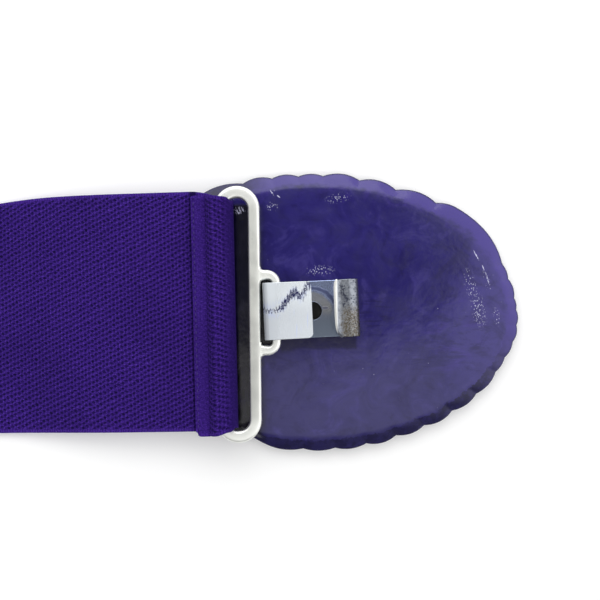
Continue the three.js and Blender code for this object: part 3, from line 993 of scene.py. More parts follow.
@dataclass
class CastRing:
    """A long cast ring with a small D-shaped loop on its outer side.

    It is modelled flat with its middle at the origin and the small loop at +X.
    """

    length: float = 81 * MM
    width: float = 14.5 * MM
    bar: float = 3.8 * MM
    thickness: float = 2.4 * MM
    edge: float = 1.0 * MM
    opening: float = 20.6 * MM
    slot: float = 3.6 * MM
    arm: float = 3.2 * MM
    corner: float = 4.3 * MM
    fillet: float = 1.2 * MM
    loop_shift: float = 0.4 * MM
    pin: float = 2.68 * MM
    pin_taper: float = 0.8 * MM
    loop_step: float = 0.015 * MM
    root_share: float = 0.45
    flare: tuple[float, ...] = (0, 0.08, 0.25, 0.5, 1)
    turn_steps: int = 40
    corner_steps: int = 14
    place: tuple[float, float, float] = (-24.19 * MM, -0.4 * MM, 10.54 * MM)
    far_dip: float = math.asin(1.8 / 18.88)
    finish: Finish = field(default_factory=SatinPlate)

    @property
    def bar_middle(self) -> float:
        """How far the middle of a long bar is from the ring's middle."""
        return (self.width - self.bar) / 2

    def section(self, name: str, width: float, thickness: float, along_x: bool) -> Workpiece:
        """Makes the cross section that a bar is drawn from, upright, with round corners.

        Args:
            name: The piece's name.
            width: The section's width.
            thickness: Its height.
            along_x: Whether it faces along X, or else along Y.

        Returns:
            The section, at the origin.
        """
        turned = (0, math.pi / 2, 0) if along_x else (math.pi / 2, 0, 0)
        piece = Workpiece.start(name, bpy.ops.mesh.primitive_plane_add, size=1, rotation=turned)
        with piece.editing():
            bpy.ops.mesh.select_all(action="SELECT")
            size = (1, width, thickness) if along_x else (width, 1, thickness)
            bpy.ops.transform.resize(value=size)
            bpy.ops.mesh.bevel(offset=self.edge, segments=4, affect="VERTICES")
        return piece

    def long_ring(self) -> Workpiece:
        """Draws the bar's section along both long sides and round both ends."""
        side = self.bar_middle
        straight = (self.length - self.width) / 2
        piece = self.section("ring", self.bar, self.thickness, along_x=False)
        with piece.editing(Pick.FACES):
            bpy.ops.mesh.select_all(action="SELECT")
            bpy.ops.transform.translate(value=(side, -straight, 0))
            for end in (straight, -straight):
                piece.extrude(0, 2 * end, 0)
                piece.spin(180, (0, end, 0), (0, 0, 1), self.turn_steps)
            bpy.ops.mesh.delete(type="ONLY_FACE")
            start = Vector((side, -straight, 0))
            piece.select(Pick.FACES, lambda p: (p - start).xy.length < MERGE)
            bpy.ops.mesh.delete(type="ONLY_FACE")
        piece.clean()
        return piece

    def small_loop(self) -> Workpiece:
        """Draws the loop's section out of the bar, round its two corners and back."""
        foot_of_arm = self.width / 2
        reach = foot_of_arm + self.slot + self.pin
        middle = self.loop_shift + (self.opening + self.arm) / 2
        low = self.loop_shift - (self.opening + self.arm) / 2
        centre_x = reach - self.corner
        inner = self.corner - self.arm / 2
        piece = self.section("loop", self.arm, self.thickness - 2 * self.loop_step, along_x=True)
        root = foot_of_arm - self.bar * self.root_share
        steps = []
        for share in self.flare:
            grow = self.fillet * (1 - math.sqrt(1 - (1 - share) ** 2))
            steps.append((foot_of_arm + share * self.fillet, self.arm + 2 * grow))
        with piece.editing(Pick.FACES):
            bpy.ops.mesh.select_all(action="SELECT")
            bpy.ops.transform.translate(value=(root, middle, 0))
            bpy.ops.transform.resize(value=(1, steps[0][1] / self.arm, 1))
            place = self.draw_arm(piece, steps, (root, steps[0][1]))
            piece.extrude(centre_x - place, 0, 0)
            piece.spin(-90, (centre_x, middle - inner, 0), (0, 0, 1), self.corner_steps)
            slim = self.pin / self.arm
            shift = (self.arm - self.pin) / 2
            piece.extrude(shift, -self.pin_taper, 0)
            bpy.ops.transform.resize(value=(slim, 1, 1))
            piece.extrude(0, -(middle - low - 2 * inner) + 2 * self.pin_taper, 0)
            piece.extrude(-shift, -self.pin_taper, 0)
            bpy.ops.transform.resize(value=(1 / slim, 1, 1))
            piece.spin(-90, (centre_x, low + inner, 0), (0, 0, 1), self.corner_steps)
            place = self.draw_arm(piece, steps[::-1], (centre_x, self.arm))
            piece.extrude(root - place, 0, 0)
        for v in piece.mesh.vertices:
            for side, centre_y in ((1, middle - inner), (-1, low + inner)):
                x, y = v.co.x - centre_x, (v.co.y - centre_y) * side
                if x > -MERGE and y > -MERGE and math.hypot(x, y) < inner:
                    v.co.x += (self.arm - self.pin) * (inner - math.hypot(x, y)) / (self.arm / 2)
        piece.clean()
        return piece

    def draw_arm(self, piece: Workpiece, steps: Sequence[tuple[float, float]],
                 start: tuple[float, float]) -> float:
        """Draws one arm of the loop along X, with a new width at each step.

        Args:
            piece: The loop in edit mode, with the arm's end selected.
            steps: The place along X and the width at each step.
            start: The place and the width that it starts from.

        Returns:
            The place that it reaches.
        """
        place, width = start
        for x, wide in steps:
            piece.extrude(x - place, 0, 0)
            bpy.ops.transform.resize(value=(1, wide / width, 1))
            place, width = x, wide
        return place

    def build(self) -> Workpiece:
        """Joins the loop to the long ring and shades it.

        Returns:
            The ring, not yet in its place.
        """
        ring = self.long_ring()
        ring.join_in(self.small_loop(), "UNION")
        ring.clean()
        ring.shade(38)
        ring.dress(self.finish)
        return ring


# Hook clip


@dataclass
class HookClip:
    """A strip of sheet, folded round the ring's pin at one end and hooked at the other.

    It is bent up round the pin's middle, which is its origin, with the hook at +X.
    """

    width: float = 18 * MM
    strip: float = 1 * MM
    pin_room: float = 1.74 * MM
    fold_back: float = 1.26 * MM
    fold_radius: float = 1.1 * MM
    fold_rise: float = 0.28 * MM
    flap_reach: float = 11.3 * MM
    flap_height: float = 0.36 * MM
    hook_reach: float = 26.1 * MM
    hook_room: float = 4.5 * MM
    lip_length: float = 4.9 * MM
    lip_flare: float = 1.0 * MM
    lip_curl: float = 1.2 * MM
    soft_edge: float = 0.2 * MM
    hole: float = 5.7 * MM
    hole_place: tuple[float, float] = (11.5 * MM, -0.5 * MM)
    pin_place: tuple[float, float, float] = (-12 * MM, 0.5 * MM, 10.54 * MM)
    lean: float = 2.0
    flap_corners: tuple[float, float] = (2.0 * MM, 1.7 * MM)
    flap_runs: tuple[float, ...] = (0.08, 0.42, 0.5)
    lip_above: float = 2.8 * MM
    curl_falls: tuple[float, ...] = (0.33, 0.27, 0.18)
    rest_runs: tuple[tuple[float, float], ...] = ((0.3, 0.12), (0.7, 0.1))
    lip_cuts: int = 23
    hook_steps: int = 24
    fold_steps: int = 10
    lip_set_back: float = 0.5 * MM
    lip_curve: tuple[tuple[float, int], ...] = ((0.9 * MM, 10), (1.9 * MM, 6))
    finish: Finish = field(default_factory=TarnishedNickel)

    def strip_line(self) -> Workpiece:
        """Bends the bare sheet, without thickness, from the lip's tip to the flap's end."""
        base = -self.pin_room - self.strip / 2
        radius = (self.hook_room + self.strip) / 2
        hook_x = self.hook_reach - radius - self.strip / 2
        tip = Vector((hook_x - self.lip_length, 0, base + 2 * radius + self.lip_flare))
        piece = Workpiece.start("bent_clip", bpy.ops.mesh.primitive_plane_add,
                                size=self.width, location=tip)
        with piece.editing(Pick.VERTICES):
            piece.select(Pick.VERTICES, lambda p: p.x < tip.x)
            bpy.ops.mesh.delete(type="VERT")
            piece.select(Pick.VERTICES, lambda p: True)
            bpy.ops.transform.translate(value=(-self.width / 2, 0, 0))
            bpy.ops.mesh.select_mode(type="EDGE")
            rest = self.lip_length - self.lip_curl
            curl = len(self.curl_falls)
            self.run(piece, [(self.lip_curl / curl, -self.lip_flare * f) for f in self.curl_falls])
            self.run(piece, [(rest * run, -self.lip_flare * fall) for run, fall in self.rest_runs])
            piece.spin(180, (hook_x, 0, base + radius), (0, 1, 0), self.hook_steps)
            self.run(piece, [(-hook_x - self.fold_back, 0)])
            bend_x = -self.fold_back + base + self.fold_radius
            self.run(piece, [(bend_x + self.fold_back, 0)])
            piece.spin(90, (bend_x, 0, base + self.fold_radius), (0, 1, 0), self.fold_steps)
            flap_z = -base + self.fold_rise
            self.run(piece, [(0, flap_z - base - 2 * self.fold_radius)])
            piece.spin(90, (bend_x, 0, flap_z - self.fold_radius), (0, 1, 0), self.fold_steps)
            drop = self.flap_height - flap_z
            reach = self.flap_reach - bend_x
            self.run(piece, [(reach * share, drop * share) for share in self.flap_runs])
        return piece

    def run(self, piece: Workpiece, steps: Sequence[tuple[float, float]]) -> None:
        """Extrudes the strip's end along X and Z, one step after another."""
        for x, z in steps:
            piece.extrude(x, 0, z)

    def shape_ends(self, piece: Workpiece) -> None:
        """Rounds the flap's corners and bows the edge of the lip.

        Args:
            piece: The bent sheet.
        """
        with piece.editing():
            for side, radius in zip((1, -1), self.flap_corners):
                piece.select(Pick.VERTICES, lambda p: abs(p.x - self.flap_reach) < 0.1 * MM
                             and abs(p.z - self.flap_height) < 0.2 * MM and p.y * side > 0)
                bpy.ops.mesh.bevel(offset=radius, segments=6, affect="VERTICES")
            tip_x = min(v.co.x for v in bmesh.from_edit_mesh(piece.mesh).verts
                        if v.co.z > self.lip_above)
            root_x = tip_x + self.lip_length - 0.1 * MM
            piece.select(Pick.EDGES, lambda p: p.z > self.lip_above and p.x < root_x
                         and abs(p.y) < MERGE)
            bpy.ops.mesh.subdivide(number_cuts=self.lip_cuts)
            for v in bmesh.from_edit_mesh(piece.mesh).verts:
                if v.co.z > self.lip_above and v.co.x < root_x:
                    share = v.co.y / (self.width / 2)
                    reach, power = self.lip_curve[0 if share > 0 else 1]
                    fall = 1 - (v.co.x - tip_x) / self.lip_length
                    v.co.x += fall * (self.lip_set_back + reach * abs(share) ** power)
            bmesh.update_edit_mesh(piece.mesh)

    def build(self) -> Workpiece:
        """Bends the strip, gives it its thickness, drills it and eases its edges.

        Returns:
            The clip, in its place.
        """
        piece = self.strip_line()
        self.shape_ends(piece)
        piece.clean()
        piece.modify("SOLIDIFY", thickness=self.strip, offset=0, use_even_offset=True)
        drill = Workpiece.start(
            "drill", bpy.ops.mesh.primitive_cylinder_add, vertices=64, radius=self.hole / 2,
            depth=3 * self.strip, location=(*self.hole_place, -self.pin_room - self.strip / 2))
        piece.join_in(drill, "DIFFERENCE")
        piece.modify("BEVEL", width=self.soft_edge, segments=3, limit_method="ANGLE",
                     angle_limit=math.radians(50))
        piece.clean()
        turned = Matrix.Rotation(math.radians(self.lean), 4, "Z")
        piece.place(Matrix.Translation(self.pin_place) @ turned)
        piece.shade(45)
        piece.modify("WEIGHTED_NORMAL", keep_sharp=True)
        piece.dress(self.finish)
        return piece


# Buckle plate


@dataclass(frozen=True)
class Scallop:
    """One scallop of the plate's edge: where it starts, its dip there and its rise."""

    at: float
    dip: float
    rise: float


@dataclass(frozen=True)
class Level:
    """One ring of vertices of the plate.

    It has a height, an inset, its share of the oval and of the scallops, and how deep
    the flutes between the scallops cut it.
    """

    height: float
    inset: float
    share: float = 1.0
    scallop: float = 0.0
    flute: float = 0.0


@dataclass
class BucklePlate:
    """An oval resin plate with a domed back, a bevelled rim and a scalloped edge."""

    length: float = 131.8 * MM
    width: float = 89.2 * MM
    thickness: float = 7.5 * MM
    dome_fall: float = 2 * MM
    bevel: float = 5 * MM
    edge_height: float = 3 * MM
    edge: float = 0.8 * MM
    front_slope: float = 12 * MM
    depth: float = 1.2 * MM
    stations: int = 720
    hidden: int = 14
    front_shares: tuple[float, ...] = (0.25, 0.6, 0.9, 1.0)
    front_steps: int = 8
    front_curve: float = 1.6
    front_scallop: float = 1.2
    edge_degrees: tuple[int, ...] = (-60, -30, 0, 30, 60)
    bevel_steps: int = 10
    bevel_curve: float = 1.45
    flute_depth: float = 0.1 * MM
    flute_power: float = 1.2
    flute_stretch: float = 1.15
    dome_steps: int = 14
    scallops: tuple[Scallop, ...] = tuple(Scallop(*numbers) for numbers in (
        (-108, -1.65, -0.85), (-103, -0.2, 0.3), (-93.5, -0.3, 0.3), (-84.5, -0.3, 0.4),
        (-75.5, -0.4, 0.4), (-66.5, -0.6, 0.3), (-57.5, -0.5, 0.5), (-47.5, -0.4, 0.5),
        (-37.5, -0.1, 0.5), (-27, -0.2, 0.1), (-20.5, -0.2, 0.3), (-13.5, 0.1, 0.5),
        (-6.5, 0, 0.2), (0, -0.4, -0.3), (5, -0.7, -0.4), (13.5, -1, -0.6),
        (20, -0.8, 0.4), (34, 1.1, 1.25), (45.5, 1.15, 0.75), (52.5, -0.5, 0.2),
        (65.5, -1.2, 0.1), (76.5, -0.8, 0.4), (87, -0.5, 0.1), (94, -0.5, 0.3),
        (101.5, -0.3, 0.6), (110, -0.1, 1.2), (127, -0.3, 0.4)))
    finish: Finish = field(default_factory=CloudyResin)

    def all_scallops(self) -> list[Scallop]:
        """Lists the scallops round the whole edge, with even ones under the strap."""
        last = self.scallops[-1]
        step = (self.scallops[0].at + 360 - last.at) / (self.hidden + 1)
        hidden = (Scallop(last.at + step * (i + 1), last.dip, last.rise)
                  for i in range(self.hidden))
        return [*self.scallops, *hidden]

    def outwards(self) -> list[tuple[float, float, float]]:
        """Works out the edge at each station.

        Returns:
            The angle, how far the edge stands out there, and how close it is to a dip.
        """
        scallops = self.all_scallops()
        again = Scallop(scallops[0].at + 360, scallops[0].dip, 0)
        spans = list(zip(scallops, [*scallops[1:], again]))
        made = []
        for i in range(self.stations):
            angle = scallops[0].at + 360 * i / self.stations
            here, after = next((a, b) for a, b in spans if a.at <= angle + 1e-9 < b.at)
            share = (angle - here.at) / (after.at - here.at)
            dip = here.dip + (after.dip - here.dip) * share
            rise = here.rise - (here.dip + after.dip) / 2
            crest = 1 - (2 * share - 1) ** 2
            made.append((math.radians(angle), self.depth * (dip + rise * crest), 1 - crest))
        return made

    def levels(self) -> list[Level]:
        """Lists the plate's rings from the front's flat to the middle of the back."""
        half = self.edge / 2
        foot, top = self.edge_height - half, self.edge_height + half
        shoulder = self.thickness - self.dome_fall
        made = [Level(0.0, self.front_slope, share) for share in self.front_shares]
        for k in range(1, self.front_steps + 1):
            t = k / self.front_steps
            inset = self.front_slope + (half - self.front_slope) * t
            made.append(Level(foot * t ** self.front_curve, inset, scallop=t ** self.front_scallop))
        for degrees in self.edge_degrees:
            a = math.radians(degrees)
            height = self.edge_height + half * math.sin(a)
            made.append(Level(height, half * (1 - math.cos(a)), scallop=1.0))
        for k in range(self.bevel_steps + 1):
            t = k / self.bevel_steps
            rise = top + (shoulder - top) * (1 - (1 - t) ** self.bevel_curve)
            along = min(1.0, t * self.flute_stretch)
            flute = self.flute_depth * max(0.0, math.sin(math.pi * along)) ** self.flute_power
            made.append(Level(rise, half + (self.bevel - half) * t, 1.0, 1 - smooth(t), flute))
        for k in range(1, self.dome_steps + 1):
            share = 1 - k / (self.dome_steps + 1)
            made.append(Level(self.thickness - self.dome_fall * share ** 2, self.bevel, share))
        return made

    def build(self) -> Workpiece:
        """Draws the edge's loop through every level and closes both faces.

        Returns:
            The plate, in its place.
        """
        edge = self.outwards()
        levels = self.levels()
        piece = Workpiece.start("scalloped_plate", bpy.ops.mesh.primitive_circle_add,
                                vertices=self.stations, radius=0.04, fill_type="NOTHING")
        with piece.editing(Pick.VERTICES):
            bpy.ops.mesh.select_all(action="SELECT")
            self.lay(piece, levels[0], edge)
            for level in levels[1:]:
                piece.extrude(0, 0, 0)
                self.lay(piece, level, edge)
            bpy.ops.mesh.edge_face_add()
            bpy.ops.mesh.poke()
            flat = levels[0]
            reach = self.length / 2 * flat.share
            piece.select(Pick.VERTICES, lambda p: p.z < flat.height + MERGE and p.length < reach
                         and self.on_level(p, flat))
            bpy.ops.mesh.edge_face_add()
            bpy.ops.mesh.poke()
        piece.clean()
        inner = (v for v in piece.mesh.vertices if v.co.xy.length < 1 * MM)
        max(inner, key=lambda v: v.co.z).co.z = self.thickness
        piece.shade(50)
        piece.dress(self.finish)
        return piece

    def oval(self, level: Level) -> tuple[float, float]:
        """Gives a level's half length and half width."""
        return ((self.length / 2 - level.inset) * level.share,
                (self.width / 2 - level.inset) * level.share)

    def on_level(self, point: Vector, level: Level) -> bool:
        """Tells whether a point lies on a level's oval."""
        along, across = self.oval(level)
        return abs((point.x / along) ** 2 + (point.y / across) ** 2 - 1) < 0.02

    def lay(self, piece: Workpiece, level: Level,
            edge: Sequence[tuple[float, float, float]]) -> None:
        """Puts the loop that was just drawn on its level.

        Args:
            piece: The plate in edit mode.
            level: The level.
            edge: The edge's stations.
        """
        along, across = self.oval(level)
        loop = sorted(self.loop_order(piece))
        for (_, v), (angle, out, dip) in zip(loop, edge):
            x, y = math.cos(angle), math.sin(angle)
            away = Vector((x / along, y / across, 0)).normalized()
            v.co = Vector((along * x, across * y, level.height - level.flute * dip ** 3))
            v.co += away * out * level.scallop
        bmesh.update_edit_mesh(piece.mesh)

    def loop_order(self, piece: Workpiece) -> Iterator[tuple[float, bmesh.types.BMVert]]:
        """Gives the selected loop's vertices with their order round the plate."""
        start = self.scallops[0].at
        for v in piece.selected():
            turn = math.degrees(math.atan2(v.co.y / self.width, v.co.x / self.length))
            yield round((turn - start + 0.2) % 360, 4), v


# Elastic strap


@dataclass
class ElasticStrap:
    """The knitted strap: one flat cut, folded round a bar at each end and sewn down.

    Distances run from a bar, away from the fold. The near bar is at the strap's
    origin, the far bar at -X, and heights are over the surface.
    """

    width: float = 76.2 * MM
    thickness: float = 1.5 * MM
    span: float = 610 * MM
    hem: float = 8.8 * MM
    close: float = 4.5 * MM
    shoulder: float = 1.5 * MM
    fold_middle: float = -1.75 * MM
    ring_rise: float = 3.0 * MM
    pinches: tuple[float, float] = (1.5 * MM, 2.3 * MM)
    skew: float = 1.1 * MM
    flap_slip: float = 0.35 * MM
    flap_settle: float = 4 * MM
    flap_corners: tuple[float, float] = (1.5 * MM, 0.5 * MM)
    draw_in: float = 2.3 * MM
    draw_middle: float = 82 * MM
    draw_reach: float = 17 * MM
    pinch_run: tuple[float, float] = (4.8 * MM, 9.55 * MM)
    squeeze: float = 2.2 * MM
    squeeze_fade: float = 0.9 * MM
    squeeze_lead: float = 0.47 * MM
    ring_bar: float = 5.35 * MM
    ring_straight: float = 33.25 * MM
    ring_inside: float = 3.45 * MM
    ring_play: float = 0.3 * MM
    rows: tuple[float, float] = (3.9 * MM, 7.95 * MM)
    row_dips: tuple[float, float] = (0.45 * MM, 0.15 * MM)
    row_reaches: tuple[float, float] = (0.5 * MM, 0.4 * MM)
    puff: float = 0.12 * MM
    puff_reach: float = 1.6 * MM
    at_bar: float = 7.54 * MM
    at_bevel: float = 5.8 * MM
    bevel: float = 31.36 * MM
    lie_down: float = 46 * MM
    bevel_slope: float = -4 / 60.9
    columns: int = 46
    fold_steps: int = 44
    arc_steps: int = 24
    foot_steps: int = 11
    near_step: float = 1.5 * MM
    far_step: float = 6 * MM
    soft_edge: float = 0.42 * MM
    stitch_radius: float = 0.2 * MM
    stitch_length: float = 1.35 * MM
    stitch_bow: float = 0.16 * MM
    stitch_pitch: float = 1.85 * MM
    stitch_margin: float = 3 * MM
    stitch_shift: float = 0.08 * MM
    stitch_turn: float = 5
    stitch_lift: float = 0.06 * MM
    stitch_sink: float = 0.3 * MM
    bar_place: tuple[float, float, float] = (-29.54 * MM, -0.4 * MM, 0)
    lean: float = 0.7
    finish: Finish = field(default_factory=KnittedElastic)
    thread: Finish = field(default_factory=Thread)

    @property
    def place(self) -> Matrix:
        """Where the near bar is, and the way that the strap runs from it."""
        turned = Matrix.Rotation(math.radians(self.lean), 4, "Z")
        return Matrix.Translation(self.bar_place) @ turned

    def underside(self, distance: float) -> float:
        """Gives the height of the strap's underside, by the distance from the near bar."""
        if distance <= 0:
            return self.at_bar
        if distance < self.bevel:
            t = distance / self.bevel
            return (self.at_bar + (self.at_bevel - self.at_bar) * smooth(t)
                    + (t ** 3 - t ** 2) * self.bevel * self.bevel_slope)
        t = min(1.0, (distance - self.bevel) / self.lie_down)
        return (self.at_bevel * (1 - smooth(t))
                + (t ** 3 - 2 * t ** 2 + t) * self.lie_down * self.bevel_slope)

    def end_line(self, near: bool) -> list[tuple[float, float]]:
        """Follows the middle of the cloth from its cut end round the bar to its foot.

        Args:
            near: Whether this is the buckle's end.

        Returns:
            Distances from the bar and heights.
        """
        height = self.underside if near else (lambda _: 0.0)
        half = self.thickness / 2
        lower, upper = half, 3 * half
        top = 2 * self.ring_rise - half
        line = []
        for k in range(self.fold_steps):
            d = self.hem + (self.fold_middle - self.hem) * k / self.fold_steps
            rise = upper + (top - upper) * self.raised(d)
            for row, dip, reach in zip(self.rows, self.row_dips, self.row_reaches):
                rise -= dip * bell(d - row, reach)
            rise += self.puff * bell(d - sum(self.rows) / 2, self.puff_reach)
            line.append((d, height(d) + rise))
        radius = self.ring_rise - half
        for k in range(self.arc_steps + 1):
            a = math.radians(90 + 180 * k / self.arc_steps)
            line.append((self.fold_middle + radius * math.cos(a),
                         height(0) + self.ring_rise + radius * math.sin(a)))
        for k in range(1, self.foot_steps + 1):
            d = self.fold_middle + (self.hem - self.fold_middle) * k / self.foot_steps
            line.append((d, height(d) + lower))
        return line

    def raised(self, distance: float) -> float:
        """Tells how far the flap is lifted towards its height over the ring."""
        return 1 - smooth((distance - self.shoulder) / (self.close - self.shoulder))

    def middle_line(self) -> list[tuple[float, float, float, bool]]:
        """Follows the whole cloth from cut end to cut end.

        Returns:
            For each row X, height, distance from the nearer bar, and whether it is the
            near end.
        """
        half = self.thickness / 2
        near = self.end_line(True)
        far = self.end_line(False)
        line = [(-d, z, d, True) for d, z in near]
        d = self.hem
        last = self.span - self.hem
        while True:
            d += self.near_step if d < self.bevel + self.lie_down else self.far_step
            if d >= last - 2 * MM:
                break
            line.append((-d, self.underside(d) + half, min(d, self.span - d), d < self.span / 2))
        line.extend((d - self.span, z, d, False) for d, z in reversed(far))
        return line

    def side(self, distance: float, height: float, near: bool, share: float) -> float:
        """Gives a point's place across the strap.

        The strap narrows where a fold squeezes into the ring. Away from the near ring it
        was sewn on a little askew, and past the buckle its upper edge draws in.

        Args:
            distance: The distance from the bar.
            height: The height over the surface.
            near: Whether this is the buckle's end.
            share: The point's share of the half width, from -1 to 1.

        Returns:
            The place across the strap.
        """
        foot = self.underside(distance) if near else 0.0
        flap = distance < self.hem + MERGE and height > foot + 1.2 * self.thickness
        level = (self.at_bar if near else 0.0) + self.ring_rise
        pinch = self.pinches[0 if near else 1]
        start, run = self.pinch_run
        half = self.width / 2 - pinch * smooth((start - distance) / run)
        off = abs(height - level)
        if distance < 0 and off < self.squeeze:
            across = self.ring_bar + distance + self.squeeze_lead
            bow = math.sqrt(max(0.0, self.ring_inside ** 2 - across ** 2))
            opening = self.ring_straight + bow - self.ring_play
            half -= (half - min(half, opening)) * smooth((self.squeeze - off) / self.squeeze_fade)
        if flap:
            corner = self.flap_corners[share > 0]
            reach = 1.4 * corner
            half -= corner * smooth((distance - self.hem + reach) / reach) ** 2
        place = share * half
        if near and flap:
            place -= self.flap_slip * smooth((distance - self.fold_middle) / self.flap_settle)
        elif near:
            place += self.skew * smooth(distance / self.hem)
            drawn = self.draw_in * bell(distance - self.draw_middle, self.draw_reach)
            place -= drawn * smooth((share + 0.2) / 1.2)
        return place

    def build_cloth(self) -> Workpiece:
        """Cuts the strap flat, keeps the cut's map, and folds it into its lay.

        Returns:
            The strap, in its place.
        """
        line = self.middle_line()
        rows = len(line)
        lengths = [0.0]
        for (x0, z0, *_), (x1, z1, *_) in zip(line, line[1:]):
            lengths.append(lengths[-1] + math.hypot(x1 - x0, z1 - z0))
        piece = Workpiece.start("knitted_strap", bpy.ops.mesh.primitive_grid_add,
                                x_subdivisions=rows - 1, y_subdivisions=self.columns, size=1)
        mesh = piece.mesh
        cut = mesh.uv_layers.new(name="cut")
        spots = {}
        for v in mesh.vertices:
            row = round((v.co.x + 0.5) * (rows - 1))
            share = 2 * v.co.y
            spots[v.index] = (lengths[row], share * self.width / 2)
            x, z, distance, near = line[row]
            v.co = (x, self.side(distance, z, near, share), z)
        for loop in mesh.loops:
            cut.data[loop.index].uv = spots[loop.vertex_index]
        self.cut_length = lengths[-1]
        piece.modify("SOLIDIFY", thickness=self.thickness, offset=0, use_even_offset=True)
        piece.modify("BEVEL", width=self.soft_edge, segments=3, limit_method="ANGLE",
                     angle_limit=math.radians(60))
        piece.place(self.place)
        piece.shade(60)
        piece.dress(self.finish)
        return piece

    def one_stitch(self) -> Workpiece:
        """Models one stitch, a short length of thread that dips into the cloth at both ends."""
        piece = Workpiece.start(
            "stitch", bpy.ops.mesh.primitive_cylinder_add, vertices=6, radius=self.stitch_radius,
            depth=self.stitch_length, end_fill_type="TRIFAN", rotation=(math.pi / 2, 0, 0))
        with piece.editing(Pick.EDGES):
            piece.select(Pick.EDGES, lambda p: abs(p.y) < 0.1 * MM)
            bpy.ops.mesh.subdivide(number_cuts=3)
        for v in piece.mesh.vertices:
            out = (v.co.y / (self.stitch_length / 2)) ** 2
            v.co.x *= 1.25 - 0.45 * out
            v.co.z = v.co.z * (0.8 - 0.3 * out) - self.stitch_bow * out
        return piece

    def build_stitches(self, name: str, near: bool, top: bool) -> Workpiece:
        """Sews one side of one end: a stitch at each step of both rows.

        Args:
            name: The piece's name.
            near: Whether this is the buckle's end.
            top: Whether this is the upper side.

        Returns:
            The stitches as one piece, in their place.
        """
        chance = random.Random(7 if near else 11)
        pattern = self.one_stitch()
        height = self.underside if near else (lambda _: 0.0)
        pieces = []
        count = int((self.width - self.stitch_margin) / self.stitch_pitch)
        for row, sink in zip(self.rows, self.row_dips):
            cloth = 2 * self.thickness
            over = cloth + (2 * self.ring_rise - cloth) * self.raised(row) - sink
            z = height(row) + (over + self.stitch_lift if top else self.stitch_sink)
            x = -row if near else row - self.span
            for k in range(count):
                y = (k - (count - 1) / 2) * self.stitch_pitch
                y += chance.uniform(-self.stitch_shift, self.stitch_shift)
                turn = math.radians(chance.uniform(-self.stitch_turn, self.stitch_turn))
                lay = Matrix.Translation((x, y, z)) @ Matrix.Rotation(turn, 4, "Z")
                if not top:
                    lay = lay @ Matrix.Rotation(math.pi, 4, "Y")
                stitch = pattern.copy("stitch_copy")
                stitch.place(self.place @ lay)
                pieces.append(stitch)
        bpy.data.objects.remove(pattern.object)
        first = pieces[0]
        first.focus()
        for other in pieces[1:]:
            other.object.select_set(True)
        bpy.ops.object.join()
        first.rename(name)
        first.shade(80)
        first.dress(self.thread)
        return first


# Stage


class RoomRecipe(Recipe):
    """The nodes of the room's own light, by the direction that is looked at."""

    def __init__(self, name: str) -> None:
        """Starts an empty room.

        Args:
            name: The room's name.
        """
        self.world = bpy.data.worlds.new(name)
        self.world.use_nodes = True
        self.tree = self.world.node_tree
        self.surface = self.tree.nodes["Background"]


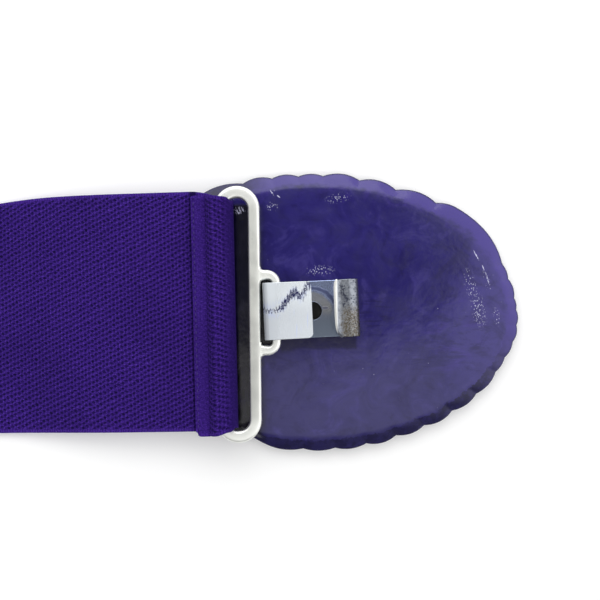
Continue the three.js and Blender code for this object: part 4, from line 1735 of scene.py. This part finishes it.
@dataclass
class Studio:
    """The pale surface, the soft light and the camera over the buckle."""

    camera_height: float = 310 * MM
    aim: tuple[float, float] = (-4.5 * MM, 3.9 * MM)
    view_angle: float = 35.1
    roll: float = -0.65
    walls: float = 1.2
    hood: float = 0.17
    hood_squeeze: tuple[float, float, float] = (1.0, 1.0, 0.0)
    hood_middle: tuple[float, float, float] = (0.0, -0.145, 0.0)
    hood_edge: tuple[float, float] = (0.2, 0.34)
    behind: tuple[float, float] = (-0.85, -0.4)
    behind_share: float = 0.25
    left: tuple[float, float] = (-0.7, 0.4)
    left_share: float = 0.55
    right_gain: float = 0.6
    floor_size: float = 12.0
    floor_place: tuple[float, float, float] = (-0.3, 0, -0.1 * MM)
    floor_colour: Colour = (0.92, 0.92, 0.92)
    floor_glow: float = 0.13
    lamp_place: tuple[float, float, float] = (-0.24, 1.03, 0.56)
    lamp_size: float = 1.4
    lamp_power: float = 7.0

    def build(self) -> None:
        """Sets up the surface, the light and the camera."""
        scene = bpy.context.scene
        scene.view_settings.view_transform = "Standard"
        self.floor()
        scene.world = self.room()
        self.lamp()
        camera = bpy.data.cameras.new("camera")
        camera.sensor_width = 36
        camera.lens = 18 / math.tan(math.radians(self.view_angle / 2))
        camera.clip_start = 0.01
        holder = bpy.data.objects.new("camera", camera)
        holder.location = (*self.aim, self.camera_height)
        holder.rotation_euler = (0, 0, math.radians(self.roll))
        scene.collection.objects.link(holder)
        scene.camera = holder

    def floor(self) -> None:
        """Lays a plain pale surface under the belt."""
        piece = Workpiece.start("surface", bpy.ops.mesh.primitive_plane_add,
                                size=self.floor_size, location=self.floor_place)
        mix = Recipe("pale_surface")
        mix.set(Base_Color=self.floor_colour, Roughness=0.9, Specular_IOR_Level=0.1,
                Emission_Color=(1, 1, 1), Emission_Strength=self.floor_glow)
        piece.mesh.materials.append(mix.material)

    def room(self) -> bpy.types.World:
        """Makes pale walls under a dark hood, with less light from behind and from the left.

        Returns:
            The room.
        """
        room = RoomRecipe("room")
        way = room.signal("TexCoord", {}, "Generated")
        off = room.length(room.signal(
            "VectorMath", {0: way, 1: self.hood_squeeze, 2: self.hood_middle},
            operation="MULTIPLY_ADD"))
        x, y, _ = room.axes(way)
        level = room.ease(off, *self.hood_edge) * (self.walls - self.hood) + self.hood
        level = level * (room.ease(y, *self.behind) * (1 - self.behind_share) + self.behind_share)
        level = level * (room.ease(x, *self.left) * self.right_gain + self.left_share)
        seen = room.signal("LightPath", {}, "Is Camera Ray")
        level = level * (1 - seen) + seen
        room.set(Color=(1, 1, 1), Strength=level)
        return room.world

    def lamp(self) -> None:
        """Hangs the soft lamp, turned to the buckle."""
        lamp = bpy.data.lights.new("key", "AREA")
        lamp.shape = "DISK"
        lamp.size = self.lamp_size
        lamp.energy = self.lamp_power
        holder = bpy.data.objects.new("key", lamp)
        holder.location = self.lamp_place
        holder.rotation_euler = (-Vector(self.lamp_place)).to_track_quat("-Z", "Y").to_euler()
        bpy.context.scene.collection.objects.link(holder)


def main() -> None:
    """Builds the stage and every piece of the belt."""
    logging.basicConfig(level=logging.INFO, format="%(name)s: %(message)s")
    Studio().build()

    casting = CastRing()
    strap = ElasticStrap()
    ring = casting.build()
    far = ring.copy("far_ring")
    ring.rename("near_ring")
    ring.place(Matrix.Translation(casting.place))
    fit(ring, "strap", ["end_ring"])
    far.place(strap.place @ Matrix.Translation((-strap.span, 0, strap.ring_rise))
              @ Matrix.Rotation(-casting.far_dip, 4, "Y")
              @ Matrix.Translation((-casting.bar_middle, 0, 0))
              @ Matrix.Rotation(math.pi, 4, "Z"))
    fit(far, "strap", ["catch_ring"])

    clip = HookClip().build()
    fit(clip, "buckle", ["hook_clip"])

    plate = BucklePlate().build()
    fit(plate, "buckle", ["buckle_plate"])

    cloth = strap.build_cloth()
    fit(cloth, "strap", ["elastic_band"])
    for near in (True, False):
        for top in (True, False):
            name = f"stitches_{'near' if near else 'far'}_{'top' if top else 'foot'}"
            sewn = strap.build_stitches(name, near, top)
            fit(sewn, "strap")
    log.info("flat cut %.1f by %.1f mm", strap.width / MM, strap.cut_length / MM)


if __name__ == "__main__":
    main()
